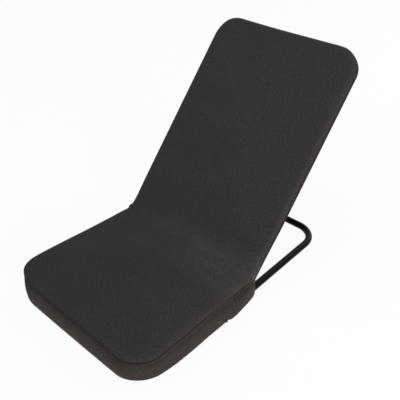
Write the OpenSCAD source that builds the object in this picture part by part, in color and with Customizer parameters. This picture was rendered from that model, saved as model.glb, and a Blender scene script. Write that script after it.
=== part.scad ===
// Folding floor chair: a padded seat on the floor, a thin padded back hinged to it,
// and a tube loop that runs round the seat and out behind the back.
// Millimetres. X is to the sitter's left or right, Y runs from the front to the rear, Z is up.

/* [Overall] */
// Width of the chair across its seams
chair_w = 450; // [380:1:560]
// Length of the seat from its front seam to the crease
seat_l = 387; // [330:1:450]
// Height of the seat's top seam above the floor
seat_h = 66; // [58:1:84]
// Length of the back from the crease to its top edge
back_l = 607; // [450:1:700]
// Thickness of the back at its rolled edge
back_t = 24; // [23.5:0.5:32]
// Lean of the back from upright, in degrees
recline = 41; // [34:1:48]
// Reach of the floor loop's centre line behind the crease
rear_reach = 313; // [230:1:380]

/* [Covers] */
// Thickness of the cover's cloth
cloth_t = 0.8; // [0.5:0.1:1.2]
// Corner radius of the seat seen from above
seat_corner_r = 72; // [60:1:100]
// Corner radius of the back's top corners
back_corner_r = 65; // [55:1:100]
// Rise of the seat's top panel over its seam
seat_crown = 5.5; // [2:0.5:12]
// Rise of the back's front panel over its rolled edge
back_crown = 4.5; // [2:0.5:10]
// Swell of the seat's side wall between its seams
seat_bulge = 4.5; // [1:0.5:8]
// How far the seam draws the side wall in
seam_draw = 1.2; // [0.5:0.1:3]
// Rounding where the side wall turns under the seat
seat_edge_r = 5; // [3:0.5:9]
// How far the seat's rear wall stands behind the crease
rear_wall = 5; // [4.5:0.5:7]
// Plan radius of the two corners beside the crease
crease_corner_r = 4; // [2.5:0.5:5]
// Angle left between the pads when the back is folded down, in degrees
closed_angle = 8; // [7:1:16]

/* [Frame] */
// Outer diameter of the frame tube
tube_d = 19; // [17:0.5:20]
// Wall of the frame tube
tube_wall = 1.5; // [1:0.1:2]
// Cloth and padding outside the tube at the pad's edge
edge_wrap = 2.5; // [2.2:0.1:5]
// Length of the swaged end inside the front tube
swage_l = 50; // [40:1:60]
// Length of the cone between the full and the swaged diameter
swage_cone_l = 3; // [2:0.5:5]
// Distance of the tube joint in front of the crease
joint_back = 6; // [5:1:10]
// Diameter of the cross tube between the side rails
cross_d = 16; // [12:0.5:17]
// Distance of the cross tube's centre in front of the crease
cross_back = 20; // [18:1:24]
// Height of the flat bar across the back
bar_w = 25; // [16:1:40]
// Thickness of the flat bar across the back
bar_t = 4; // [3:0.5:6]
// Distance from the crease to the flat bar's lower edge
bar_low = 76; // [70:1:120]
// Thread diameter of the screws in the tube joints
screw_d = 5; // [4:0.5:6]
// Length of the screws in the tube joints
screw_l = 7; // [5:0.5:8]
// Head diameter of the screws in the tube joints
screw_head_d = 9; // [8:0.5:11]
// Head height of the screws in the tube joints
screw_head_h = 2.8; // [2:0.1:3]

/* [Hinge] */
// Thickness of the hinge plates
plate_t = 5; // [4:0.1:5.2]
// Outer radius of the eye of a hinge plate
eye_r = 7.5; // [7:0.1:8]
// Depth of the pivot under the crease
pivot_depth = 2.2; // [2:0.1:2.8]
// Diameter of the pivot bolt's shoulder
shoulder_d = 8; // [7:0.1:8.5]
// Diameter of the pivot bolt's thread
thread_d = 6; // [5:0.1:6.5]
// Diameter of the pivot bolt's head
bolt_head_d = 13; // [11:0.5:14]
// Height of the pivot bolt's head
bolt_head_h = 3.2; // [2.4:0.1:3.4]
// Width across the flats of the pivot nut
nut_af = 10; // [9:0.5:11]
// Height of the pivot nut
nut_h = 5; // [4:0.1:5]
// Outer diameter of the pivot washers
washer_d = 14; // [12:0.5:15]
// Thickness of the pivot washers
washer_t = 1; // [0.8:0.1:1.2]
// Wall of the nylon bush in the back plate's eye
bush_wall = 1; // [0.8:0.1:1.2]
// Diameter of the pin that the open back leans on
stop_d = 7; // [6:0.5:7.5]
// Steel left round the stop pin
horn_wall = 2; // [1.8:0.1:2.4]
// Distance of the stop pin along the back plate's bearing edge
stop_along = 12; // [11:0.5:13]
// Length of the base plate's foot along the rail
foot_l = 46; // [36:1:54]
// Distance from the crease to the lower end of the back tube
leg_low = 30; // [29:1:36]
// Length of the slot in the back tube that holds the plate
slot_l = 32; // [24:1:40]
// Width of the back plate's tongue in the slot
tongue_w = 16; // [14:0.5:16.5]

/* [Foam] */
// Gap between the foam and the tube beside it
core_gap = 4; // [3.8:0.1:8]
// Gap between the top of the rails and the foam that lies over them
rail_gap = 1.3; // [1:0.1:3]
// Length of the cut in the foam's rear corners for the hinges
corner_cut_l = 90; // [70:1:120]
// Slack of the cover over the front of the back's foam
front_slack = 0.6; // [0.4:0.1:1]

/* [Zip] */
// Distance from the crease to the zip, along the back
zip_up = 130; // [120:1:300]
// Length of the zip's teeth
zip_l = 360; // [260:1:400]
// Width of the zip's tape
tape_w = 30; // [24:1:34]
// Thickness of the zip's tape
tape_t = 0.6; // [0.4:0.1:0.9]
// Tape beyond each end of the teeth
tape_end = 12; // [8:1:16]
// Width of the row of teeth
teeth_w = 5; // [4:0.5:6]
// Height of the row of teeth
teeth_h = 1.4; // [1.2:0.1:2]
// Distance from one tooth to the next
tooth_pitch = 5; // [3:0.5:6]
// Length of the zip's slider
slider_l = 11; // [9:0.5:14]
// Wall of the zip's slider
slider_wall = 1.2; // [1:0.1:1.6]
// Diameter of the bar that carries the pull
bail_d = 1.8; // [1.5:0.1:2.2]
// Width between the lugs that hold that bar
bail_w = 4.4; // [4:0.1:5.5]
// Thickness of each lug
lug_t = 1.2; // [1:0.1:1.6]
// Length of the pull from its eye to its tip
pull_l = 26; // [18:1:34]
// Width of the pull at its tip
pull_w = 8; // [6:0.5:10]
// Wall round the pull's eye
pull_wall = 1.1; // [0.9:0.1:1.6]

/* [Clearances] */
// Gap between a soft piece and what lies beside it
soft_gap = 0.3; // [0.2:0.05:0.5]
// Gap between the two pads on the crease
crease_gap = 0.4; // [0.3:0.05:0.6]
// Radial running gap of the pivot bolts in their holes
run_gap = 0.05; // [0.03:0.01:0.09]
// Side gap between a washer and the plate beside it
side_gap = 0.1; // [0.05:0.05:0.2]
// Gap between the stop pin and the back plate
stop_gap = 0.05; // [0.02:0.01:0.1]
// Gap of holes that pieces pass through loosely
loose_gap = 0.2; // [0.15:0.05:0.3]
// Room round the hinge eyes in the covers
eye_room = 1.5; // [1.2:0.1:2]

/* [Hidden] */
$fn = 48;

// Cut tools run this far past what they cut
overrun = 2;

// Half sizes
half_w = chair_w / 2;
tube_r = tube_d / 2;
bore_r = tube_r - tube_wall;
edge_r = back_t / 2;

// The tube lies this far inside the seam, in the seat and in the back alike
tube_inset = tube_r + edge_wrap;
rail_x = half_w - tube_inset;
rail_z = cloth_t + soft_gap + tube_r;
rail_top = rail_z + tube_r;

// The pads meet on a plane that halves the angle between them
back_angle = 90 - recline;
mitre = back_angle / 2;
pivot_y = pivot_depth * sin(mitre);
pivot_drop = pivot_depth * cos(mitre);
pivot_z = seat_h - pivot_drop;

// Hinge stack across X, from the outside in
plate_gap = washer_t + 2 * side_gap;
stack_mid = rail_x - side_gap;
base_plate_x = stack_mid + plate_gap / 2;
back_plate_x = stack_mid - plate_gap / 2 - plate_t;
inner_washer_x = back_plate_x - side_gap - washer_t;
nut_x = inner_washer_x - side_gap - nut_h;
bolt_head_x = base_plate_x + plate_t;
shoulder_r = shoulder_d / 2;
hole_r = shoulder_r + run_gap;
bush_r = hole_r + bush_wall;

// Back plate in the back's own frame, measured from the pivot
tongue_low = leg_low + pivot_y;
tongue_mid = edge_r - pivot_drop;
tongue_rear = tongue_mid + tongue_w / 2;
bearing_reach = sqrt(pow(tongue_low, 2) + pow(tongue_rear, 2));
bearing_a = atan2(tongue_rear, tongue_low) - asin(eye_r / bearing_reach);
stop_r = stop_d / 2;
stop_off = eye_r + stop_r + stop_gap;
stop_up = stop_along * cos(bearing_a) - stop_off * sin(bearing_a);
stop_in = stop_along * sin(bearing_a) + stop_off * cos(bearing_a);
horn_r = stop_r + horn_wall;
sweep_r = sqrt(pow(stop_up, 2) + pow(stop_in, 2)) + horn_r;

// Room that the covers leave for the hinge
room_r = eye_r + eye_room;
room_x = nut_x - soft_gap;
room_end = half_w - cloth_t - soft_gap - seam_draw;

// Counts of steps round an outline
corner_steps = 6;
small_corner_steps = 2;
cross_steps = 8;
side_steps = 9;

// Shares of the half size at which the rings of a padded panel lie
panel_shares = [0.98, 0.93, 0.84, 0.7, 0.5, 0.24];
inner_panel_shares = [0.96, 0.86, 0.68, 0.4];
// Least share of its radius that a small corner keeps on an inset ring
corner_floor_share = 0.3;
// Shares of the side wall's height at which its rings lie
wall_shares = [0.2, 0.42, 0.64, 0.84];
foam_step_z = rail_top + rail_gap;
foam_step_share = (foam_step_z - seat_edge_r) / (seat_h - cloth_t - soft_gap - seat_edge_r);
inner_wall_shares = [foam_step_share, 0.55, 0.82];
// Steps of the rolled edge of the back, in degrees from the front face
roll_angles = [0, 25, 50, 75, 105, 140, 180];
inner_roll_angles = [0, 40, 90, 140, 180];

// The panel's rise follows this power of the distance from its middle
crown_power = 4;
crown_root = 0.6;
smooth_share = 0.35;
// The rounded corners of a panel follow this power of the distances from its middle
corner_power = 8;

// Outlines

function arc(x, y, r, from, to, steps) = [
    for (i = [0:steps])
        let (a = from + (to - from) * i / steps)
        [x + r * cos(a), y + r * sin(a)]
];

function between(p, q, steps) = [for (i = [1:steps - 1]) p + (q - p) * i / steps];

// Rounded rectangle from y0 to y1, counter-clockwise, always with as many points
function outline(hw, y0, y1, r0, r1, steps0, steps1) = concat(
    arc(hw - r1, y1 - r1, r1, 0, 90, steps1),
    between([hw - r1, y1], [r1 - hw, y1], cross_steps),
    arc(r1 - hw, y1 - r1, r1, 90, 180, steps1),
    between([-hw, y1 - r1], [-hw, y0 + r0], side_steps),
    arc(r0 - hw, y0 + r0, r0, 180, 270, steps0),
    between([r0 - hw, y0], [hw - r0, y0], cross_steps),
    arc(hw - r0, y0 + r0, r0, 270, 360, steps0),
    between([hw, y0 + r0], [hw, y1 - r1], side_steps)
);

// Radius of the corners beside the crease on a ring inset by d
function small_r(d) = max(crease_corner_r - d, crease_corner_r * corner_floor_share);

function level(points, z) = [for (p = points) [p[0], p[1], z]];

// The lower of two heights, blended where they are close
function smooth_min(a, b, k) = min(a, b) - pow(max(k - abs(a - b), 0), 2) / (4 * k);

// Height that a panel may have at distance r from the crease, so that the folded pads just meet
function crease_rise(r) = (r + pivot_y) * tan(closed_angle / 2) - pivot_drop / cos(closed_angle / 2)
    - soft_gap / 2;

// Height of a padded panel over its plane
function panel_rise(share, crown, r) =
    smooth_min(crown * pow(1 - pow(share, crown_power), crown_root), crease_rise(r), crown * smooth_share);

// Closed skin through rings that have as many points each, from a flat floor to a tip
module skin(rings, tip) {
    n = len(rings[0]);
    top = len(rings) - 1;
    tip_at = n * len(rings);
    points = concat([for (ring = rings) each ring], [tip, [tip[0], tip[1], rings[0][0][2]]]);
    floor_fan = [for (i = [0:n - 1]) [i, (i + 1) % n, tip_at + 1]];
    bands = [
        for (k = [0:top - 1])
            for (i = [0:n - 1])
                let (a = k * n + i, b = k * n + (i + 1) % n)
                each [[a, a + n, b + n], [a, b + n, b]]
    ];
    tip_fan = [for (i = [0:n - 1]) [top * n + (i + 1) % n, top * n + i, tip_at]];
    polyhedron(points = points, faces = concat(floor_fan, bands, tip_fan));
}

// Seat pad, in the chair's frame with the crease at Y zero

// Rear limit of the seat at height z and inset d
function seat_rear(z, d) =
    min(rear_wall - d, (seat_h - z) * tan(mitre) - (d + crease_gap / 2) / cos(mitre));

function seat_outline(d, z, out) = outline(
    half_w - d + out,
    d - out - seat_l,
    seat_rear(z, d),
    seat_corner_r - d + out,
    small_r(d),
    corner_steps,
    small_corner_steps
);

// Swell of the side wall at a share of its height, less what the seam draws in
function wall_out(share) = seat_bulge * (1 - pow(2 * share - 1, 2)) - seam_draw * pow(share, crown_power);

function seat_panel_z(share, y, d) = seat_h - d + panel_rise(share, seat_crown, -y);

// Ring of the top panel at a share of the seam ring's size
function seat_panel_ring(share, d) =
    let (mid = -seat_l / 2)
    let (seam = seat_outline(d, seat_h - d + crease_rise(0), wall_out(1)))
    [for (p = seam) let (y = mid + share * (p[1] - mid)) [share * p[0], y, seat_panel_z(share, y, d)]];

function seat_wall_ring(share, d, low) =
    let (z = low + share * (seat_h - d - low))
    level(seat_outline(d, z, wall_out(share)), z);

function seat_edge_ring(a, d) =
    let (z = d + (seat_edge_r - d) * (1 - cos(a)))
    level(seat_outline(d + (seat_edge_r - d) * (1 - sin(a)), z, 0), z);

module seat_pad(d, edge_angles, wall_shares, panel_shares) {
    edges = [for (a = edge_angles) seat_edge_ring(a, d)];
    walls = [for (share = wall_shares) seat_wall_ring(share, d, seat_edge_r)];
    panels = [for (share = concat([1], panel_shares)) seat_panel_ring(share, d)];
    mid = -seat_l / 2;
    skin(concat(edges, walls, panels), [0, mid, seat_panel_z(0, mid, d)]);
}

// Back pad, in its own frame: Y runs up the back from the crease, Z out of its front face

module back_frame() {
    translate([0, 0, seat_h])
        rotate([back_angle, 0, 0])
            children();
}

// Lower limit of the back at depth z and inset d
function back_foot(z, d) = z * tan(mitre) + (d + crease_gap / 2) / cos(mitre);

// Height of the rolled edge at angle a from the front face, where the front dips to the crease
function roll_z(a, y, d) = (edge_r - d + (a < 90 ? min(0, crease_rise(y)) : 0)) * cos(a) - edge_r;

// Ring of the rolled edge at angle a from the front face
function back_roll_ring(a, d) =
    let (turn = (edge_r - d) * (1 - sin(a)))
    let (foot = back_foot(roll_z(a, 0, d), d) + (a > 90 ? turn : 0))
    let (points = outline(
        half_w - d - turn, foot, back_l - d - turn,
        small_r(d), back_corner_r - d - turn,
        small_corner_steps, corner_steps
    ))
    [for (p = points) [p[0], p[1], roll_z(a, p[1], d)]];

function back_panel_z(share, y, d) = panel_rise(share, back_crown, y) - d;

function back_panel_ring(share, d) =
    let (mid = back_l / 2)
    [
        for (p = back_roll_ring(0, d))
            let (y = mid + share * (p[1] - mid))
            [share * p[0], y, back_panel_z(share, y, d)]
    ];

module back_pad(d, roll_angles, panel_shares) {
    count = len(roll_angles);
    rolls = [for (i = [1:count - 1]) back_roll_ring(roll_angles[count - i], d)];
    panels = [for (share = concat([1], panel_shares)) back_panel_ring(share, d)];
    mid = back_l / 2;
    skin(concat(rolls, panels), [0, mid, back_panel_z(0, mid, d)]);
}

// The chair stands with the middle of its length over the origin
function back_y(p) = p[1] * cos(back_angle) - p[2] * sin(back_angle);
front_most = min([for (share = wall_shares) -seat_l - wall_out(share)]);
rear_most = max([for (a = roll_angles) for (p = back_roll_ring(a, 0)) back_y(p)]);
mid_y = (front_most + rear_most) / 2;

module placed() {
    translate([0, -mid_y, 0])
        children();
}

// Both sides alike
module both_sides() {
    children();
    mirror([1, 0, 0])
        children();
}

// Shapes shared by several pieces

// A slice across X that starts at x, from an outline in Y and Z
module slice(x, thickness) {
    translate([x, 0, 0])
        rotate([90, 0, 90])
            linear_extrude(thickness)
                children();
}

// A rod along X
module rod_x(x, length, r) {
    translate([x, 0, 0])
        rotate([0, 90, 0])
            cylinder(h = length, r = r);
}

module at_pivot() {
    translate([0, pivot_y, pivot_z])
        children();
}

// Pivot in the back's own frame
module at_back_pivot() {
    translate([0, -pivot_y, -pivot_drop])
        children();
}

module tube_section() {
    difference() {
        circle(r = tube_r);
        circle(r = bore_r);
    }
}

// A straight tube along Y
module tube_run(length) {
    rotate([-90, 0, 0])
        linear_extrude(length)
            tube_section();
}

module tube_bend(r) {
    rotate_extrude(angle = 90)
        translate([r, 0])
            tube_section();
}

// A U of tube: legs along Y from y0, its cross run centred on y1, bends of radius r
module tube_u(y0, y1, r) {
    both_sides() {
        translate([rail_x, y0, 0])
            tube_run(y1 - r - y0);
        translate([rail_x - r, y1 - r, 0])
            tube_bend(r);
        translate([0, y1, 0])
            rotate([0, 0, -90])
                tube_run(rail_x - r);
    }
}

// Floor loop

seat_bend_r = seat_corner_r - tube_inset;
screw_y = -joint_back - swage_l + screw_head_d;

module joint_screw_place() {
    translate([rail_x - tube_r, screw_y, rail_z])
        children();
}

module front_frame_tube() {
    color("black")
        placed()
            difference() {
                translate([0, 0, rail_z])
                    mirror([0, 1, 0])
                        tube_u(joint_back, seat_l - tube_inset, seat_bend_r);
                both_sides()
                    joint_screw_place()
                        rod_x(-overrun, tube_r + overrun, screw_d / 2);
            }
}

// The swaged end: a cone and a spigot about Y
module swage() {
    spigot_r = bore_r - loose_gap;
    spigot_bore_r = spigot_r - tube_wall;
    rotate([90, 0, 0])
        rotate_extrude()
            polygon([
                [tube_r, -swage_cone_l],
                [spigot_r, 0],
                [spigot_r, swage_l],
                [spigot_bore_r, swage_l],
                [spigot_bore_r, 0],
                [bore_r, -swage_cone_l]
            ]);
}

module rear_floor_tube() {
    color("black")
        placed()
            difference() {
                translate([0, 0, rail_z]) {
                    tube_u(swage_cone_l - joint_back, rear_reach, seat_bend_r);
                    both_sides()
                        translate([rail_x, -joint_back, 0])
                            swage();
                }
                both_sides()
                    joint_screw_place()
                        rod_x(-overrun, tube_r + overrun, screw_d / 2);
            }
}

module base_cross_tube() {
    color("black")
        placed()
            difference() {
                translate([0, -cross_back, rail_z])
                    difference() {
                        rod_x(-rail_x, 2 * rail_x, cross_d / 2);
                        rod_x(-rail_x - overrun, 2 * (rail_x + overrun), cross_d / 2 - tube_wall);
                    }
                both_sides()
                    translate([rail_x, -cross_back - cross_d, rail_z])
                        rotate([-90, 0, 0])
                            cylinder(h = 2 * cross_d, r = tube_r);
            }
}

module tube_joint_screws() {
    color("silver")
        placed()
            both_sides()
                joint_screw_place() {
                    rod_x(-screw_head_h, screw_head_h, screw_head_d / 2);
                    rod_x(0, screw_l, screw_d / 2);
                }
}

// Hinge

// Places of the stop pin in the chair's frame, measured from the pivot
stop_y = stop_up * cos(back_angle) + stop_in * sin(back_angle);
stop_z = stop_up * sin(back_angle) - stop_in * cos(back_angle);
horn_a = atan2(stop_z, stop_y);
foot_z = rail_top - tube_wall;

module base_plate_outline() {
    translate([pivot_y, pivot_z]) {
        circle(r = eye_r);
        rotate(horn_a)
            translate([0, -horn_r])
                square([norm([stop_y, stop_z]), 2 * horn_r]);
        translate([stop_y, stop_z])
            circle(r = horn_r);
    }
    polygon([
        [-joint_back, foot_z],
        [-joint_back / 2, pivot_z - 2 * eye_r],
        [pivot_y + eye_r * sin(45), pivot_z - eye_r * cos(45)],
        [pivot_y, pivot_z],
        [pivot_y - eye_r, pivot_z],
        [-joint_back - foot_l, foot_z + 2 * tube_wall],
        [-joint_back - foot_l, foot_z]
    ]);
}

module hinge_base_plate() {
    difference() {
        slice(base_plate_x, plate_t)
            base_plate_outline();
        at_pivot() {
            rod_x(base_plate_x - overrun, plate_t + 2 * overrun, hole_r);
            translate([0, stop_y, stop_z])
                rod_x(base_plate_x - overrun, plate_t + 2 * overrun, stop_r);
        }
        translate([rail_x, -seat_l, rail_z])
            rotate([-90, 0, 0])
                cylinder(h = seat_l + rear_wall, r = tube_r);
    }
}

module hinge_base_plate_right() {
    color("black")
        placed()
            hinge_base_plate();
}

module hinge_base_plate_left() {
    color("black")
        placed()
            mirror([1, 0, 0])
                hinge_base_plate();
}

module stop_pins() {
    color("silver")
        placed()
            both_sides()
                at_pivot()
                    translate([0, stop_y, stop_z])
                        rod_x(back_plate_x, bolt_head_x - back_plate_x, stop_r);
}

// Outline in the back's own frame, with the pivot at zero
module back_plate_outline() {
    front_edge = pivot_drop - cloth_t - soft_gap + crease_rise(0);
    circle(r = eye_r);
    polygon([
        [0, front_edge],
        [-eye_r * sin(bearing_a), -eye_r * cos(bearing_a)],
        [tongue_low, -tongue_rear],
        [tongue_low + slot_l, -tongue_rear],
        [tongue_low + slot_l, tongue_w - tongue_rear],
        [tongue_low, tongue_w - tongue_rear],
        [tongue_low - tongue_w / 2, front_edge]
    ]);
}

module hinge_back_plate() {
    back_frame()
        at_back_pivot()
            difference() {
                slice(back_plate_x, plate_t)
                    back_plate_outline();
                rod_x(back_plate_x - overrun, plate_t + 2 * overrun, bush_r);
            }
}

module hinge_back_plate_right() {
    color("black")
        placed()
            hinge_back_plate();
}

module hinge_back_plate_left() {
    color("black")
        placed()
            mirror([1, 0, 0])
                hinge_back_plate();
}

module pivot_bushings() {
    color("white")
        placed()
            both_sides()
                at_pivot()
                    difference() {
                        rod_x(back_plate_x, plate_t, bush_r);
                        rod_x(back_plate_x - overrun, plate_t + 2 * overrun, hole_r);
                    }
}

module pivot_bolts() {
    color("silver")
        placed()
            both_sides()
                at_pivot() {
                    rod_x(bolt_head_x, bolt_head_h, bolt_head_d / 2);
                    rod_x(inner_washer_x - side_gap, bolt_head_x - inner_washer_x + side_gap, shoulder_r);
                    rod_x(nut_x, nut_h, thread_d / 2);
                }
}

module pivot_nuts() {
    color("silver")
        placed()
            both_sides()
                at_pivot()
                    difference() {
                        translate([nut_x, 0, 0])
                            rotate([0, 90, 0])
                                cylinder(h = nut_h, r = nut_af / 2 / cos(30), $fn = 6);
                        rod_x(nut_x - overrun, nut_h + 2 * overrun, thread_d / 2 + run_gap);
                    }
}

module washer_at(x) {
    difference() {
        rod_x(x, washer_t, washer_d / 2);
        rod_x(x - overrun, washer_t + 2 * overrun, shoulder_r + loose_gap);
    }
}

module pivot_washers() {
    color("white")
        placed()
            both_sides()
                at_pivot() {
                    washer_at(stack_mid - washer_t / 2);
                    washer_at(inner_washer_x);
                }
}

// Seat foam and cover

core_half = rail_x - tube_r - core_gap;
core_r = seat_bend_r - tube_r - core_gap;
foam_d = cloth_t + soft_gap;
core_rear = -cross_back - cross_d / 2 - core_gap;

function core_ring(z) = level(
    outline(
        core_half, core_gap + tube_r + tube_inset - seat_l, core_rear,
        core_r, crease_corner_r, corner_steps, small_corner_steps
    ),
    z
);

module seat_foam() {
    mid = -seat_l / 2;
    color("khaki")
        placed()
            difference() {
                skin(
                    concat(
                        [core_ring(foam_d), core_ring(foam_step_z)],
                        [for (share = inner_wall_shares) seat_wall_ring(share, foam_d, seat_edge_r)],
                        [for (share = concat([1], inner_panel_shares)) seat_panel_ring(share, foam_d)]
                    ),
                    [0, mid, seat_panel_z(0, mid, foam_d)]
                );
                both_sides()
                    translate([core_half, -corner_cut_l, 0])
                        cube([half_w, corner_cut_l + overrun + rear_wall, 2 * seat_h]);
            }
}

module seat_cover() {
    color("dimgray")
        placed()
            difference() {
                seat_pad(0, [0, 40, 75], wall_shares, panel_shares);
                seat_pad(cloth_t, [0, 60], inner_wall_shares, inner_panel_shares);
                both_sides() {
                    at_pivot()
                        rod_x(room_x, room_end - room_x, room_r);
                    translate([rail_x, -rear_wall, rail_z])
                        rotate([-90, 0, 0])
                            cylinder(h = 3 * rear_wall, r = tube_r + loose_gap);
                }
            }
}

// Back frame, foam and cover

back_bend_r = back_corner_r - tube_inset;

module back_slots() {
    both_sides()
        at_back_pivot()
            slice(back_plate_x, plate_t)
                translate([tongue_low, -tongue_rear])
                    square([slot_l, tongue_w]);
}

module back_frame_tube() {
    color("black")
        placed()
            back_frame()
                difference() {
                    translate([0, 0, -edge_r])
                        tube_u(leg_low, back_l - tube_inset, back_bend_r);
                    back_slots();
                }
}

bar_z = -edge_r - cross_d / 4 - bar_t;

module back_cross_bar() {
    color("black")
        placed()
            back_frame()
                difference() {
                    translate([-rail_x, bar_low, bar_z])
                        cube([2 * rail_x, bar_w, bar_t]);
                    both_sides()
                        translate([rail_x, bar_low - overrun, -edge_r])
                            rotate([-90, 0, 0])
                                cylinder(h = bar_w + 2 * overrun, r = tube_r);
                }
}

// Ring of the foam at depth z, whose lower end rounds off behind the middle of the thickness
function foam_ring(z) =
    let (d = foam_d)
    level(
        outline(
            core_half, back_foot(z, d) + max(0, -edge_r - z), back_l - tube_inset - tube_r - core_gap,
            crease_corner_r - d, back_bend_r - tube_r - core_gap, small_corner_steps, corner_steps
        ),
        z
    );

// Share of the front panel's size at which a point of it lies
function panel_share_at(x, y, mid) =
    let (u = abs(x) / (half_w - edge_r))
    let (v = y < mid ? 1 - y / mid : (y - mid) / (mid - edge_r))
    min(1, pow(pow(u, corner_power) + pow(v, corner_power), 1 / corner_power));

function foam_panel_ring(share) =
    let (mid = back_l / 2)
    [
        for (p = foam_ring(-foam_d))
            let (x = share * p[0], y = mid + share * (p[1] - mid))
            [x, y, back_panel_z(panel_share_at(x, y, mid), y, foam_d + front_slack)]
    ];

module back_foam() {
    mid = back_l / 2;
    color("khaki")
        placed()
            back_frame()
                difference() {
                    skin(
                        concat(
                            [foam_ring(foam_d - back_t), foam_ring(-edge_r)],
                            [for (share = concat([1], inner_panel_shares)) foam_panel_ring(share)]
                        ),
                        [0, mid, back_panel_z(0, mid, foam_d + front_slack)]
                    );
                    translate([-half_w, bar_low - soft_gap, bar_z - back_t])
                        cube([chair_w, bar_w + 2 * soft_gap, back_t + bar_t + soft_gap]);
                }
}

// Space that the base plate's horn and the stop pin sweep as the back folds
module horn_sweep() {
    at_back_pivot()
        intersection() {
            rod_x(room_x, room_end - room_x, sweep_r + eye_room / 2);
            translate([0, -back_t, -back_t - pivot_drop])
                cube([half_w, 2 * back_t, back_t]);
        }
}

module back_cover() {
    color("dimgray")
        placed()
            back_frame()
                difference() {
                    back_pad(0, roll_angles, panel_shares);
                    back_pad(cloth_t, inner_roll_angles, inner_panel_shares);
                    both_sides() {
                        at_back_pivot()
                            rod_x(room_x, room_end - room_x, room_r);
                        horn_sweep();
                    }
                }
}

// Zip on the rear face of the back

zip_z = -back_t;
teeth_z = zip_z - tape_t - teeth_h;

module zip_tape() {
    color("black")
        placed()
            back_frame()
                translate([-zip_l / 2 - tape_end, zip_up - tape_w / 2, zip_z - tape_t])
                    cube([zip_l + 2 * tape_end, tape_w, tape_t]);
}

// Comb outline of the teeth: a spine with a tooth on either side in turn
module teeth_outline() {
    count = floor(zip_l / tooth_pitch);
    start = -count * tooth_pitch / 2;
    root = teeth_w / 4;
    tooth = tooth_pitch * 0.45;
    translate([start, -root])
        square([count * tooth_pitch, 2 * root]);
    for (i = [0:count - 1]) {
        translate([start + i * tooth_pitch, 0])
            square([tooth, teeth_w / 2]);
        translate([start + (i + 0.5) * tooth_pitch, -teeth_w / 2])
            square([tooth, teeth_w / 2]);
    }
}

module zip_teeth() {
    color("dimgray")
        placed()
            back_frame()
                translate([0, zip_up, teeth_z])
                    linear_extrude(teeth_h)
                        teeth_outline();
}

module zip_end_stops() {
    stop_l = tape_end / 3;
    color("silver")
        placed()
            back_frame()
                both_sides()
                    translate([zip_l / 2, zip_up - teeth_w / 2, teeth_z])
                        cube([stop_l, teeth_w, teeth_h]);
}

slider_x = zip_l / 2 - slider_l / 2;
slider_roof = teeth_z - soft_gap - slider_wall;
bail_z = slider_roof - bail_d - pull_wall - loose_gap;

module zip_slider() {
    inner_w = teeth_w + 2 * soft_gap;
    outer_w = inner_w + 2 * slider_wall;
    lug_h = slider_roof - bail_z;
    color("silver")
        placed()
            back_frame()
                translate([slider_x, zip_up, 0]) {
                    difference() {
                        translate([-slider_l / 2, -outer_w / 2, slider_roof])
                            cube([slider_l, outer_w, slider_wall + soft_gap + teeth_h - soft_gap]);
                        translate([-slider_l, -inner_w / 2, slider_roof + slider_wall])
                            cube([2 * slider_l, inner_w, teeth_h + soft_gap]);
                    }
                    both_sides()
                        translate([bail_w / 2, -bail_d, bail_z])
                            cube([lug_t, 2 * bail_d, lug_h]);
                    both_sides()
                        translate([bail_w / 2, 0, bail_z])
                            rotate([0, 90, 0])
                                cylinder(h = lug_t, r = bail_d);
                    translate([0, 0, bail_z])
                        rod_x(-bail_w / 2, bail_w, bail_d / 2);
                }
}

// Pull that hangs straight down from the slider's bar
pull_eye_r = bail_d / 2 + loose_gap + pull_wall;

module pull_outline() {
    circle(r = pull_eye_r);
    translate([-pull_wall / 2, -pull_l])
        square([pull_wall, pull_l]);
}

module zip_pull() {
    narrow = bail_w - 2 * soft_gap;
    hang_y = zip_up * cos(back_angle) - bail_z * sin(back_angle);
    hang_z = seat_h + zip_up * sin(back_angle) + bail_z * cos(back_angle);
    color("silver")
        placed()
            translate([slider_x, hang_y, hang_z])
                difference() {
                    union() {
                        slice(-narrow / 2, narrow)
                            pull_outline();
                        translate([-pull_w / 2, -pull_wall / 2, -pull_l])
                            cube([pull_w, pull_wall, pull_l * 0.6]);
                    }
                    rod_x(-bail_w, 2 * bail_w, bail_d / 2 + loose_gap);
                }
}

front_frame_tube();
rear_floor_tube();
base_cross_tube();
hinge_base_plate_left();
hinge_base_plate_right();
stop_pins();
pivot_bolts();
pivot_nuts();
pivot_washers();
tube_joint_screws();
seat_foam();
seat_cover();
back_frame_tube();
back_cross_bar();
hinge_back_plate_left();
hinge_back_plate_right();
pivot_bushings();
back_foam();
back_cover();
zip_tape();
zip_teeth();
zip_end_stops();
zip_slider();
zip_pull();
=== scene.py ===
import math
from functools import partial

import bmesh
import bpy
import numpy as np
from mathutils import Matrix, Vector
from mathutils.bvhtree import BVHTree


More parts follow.
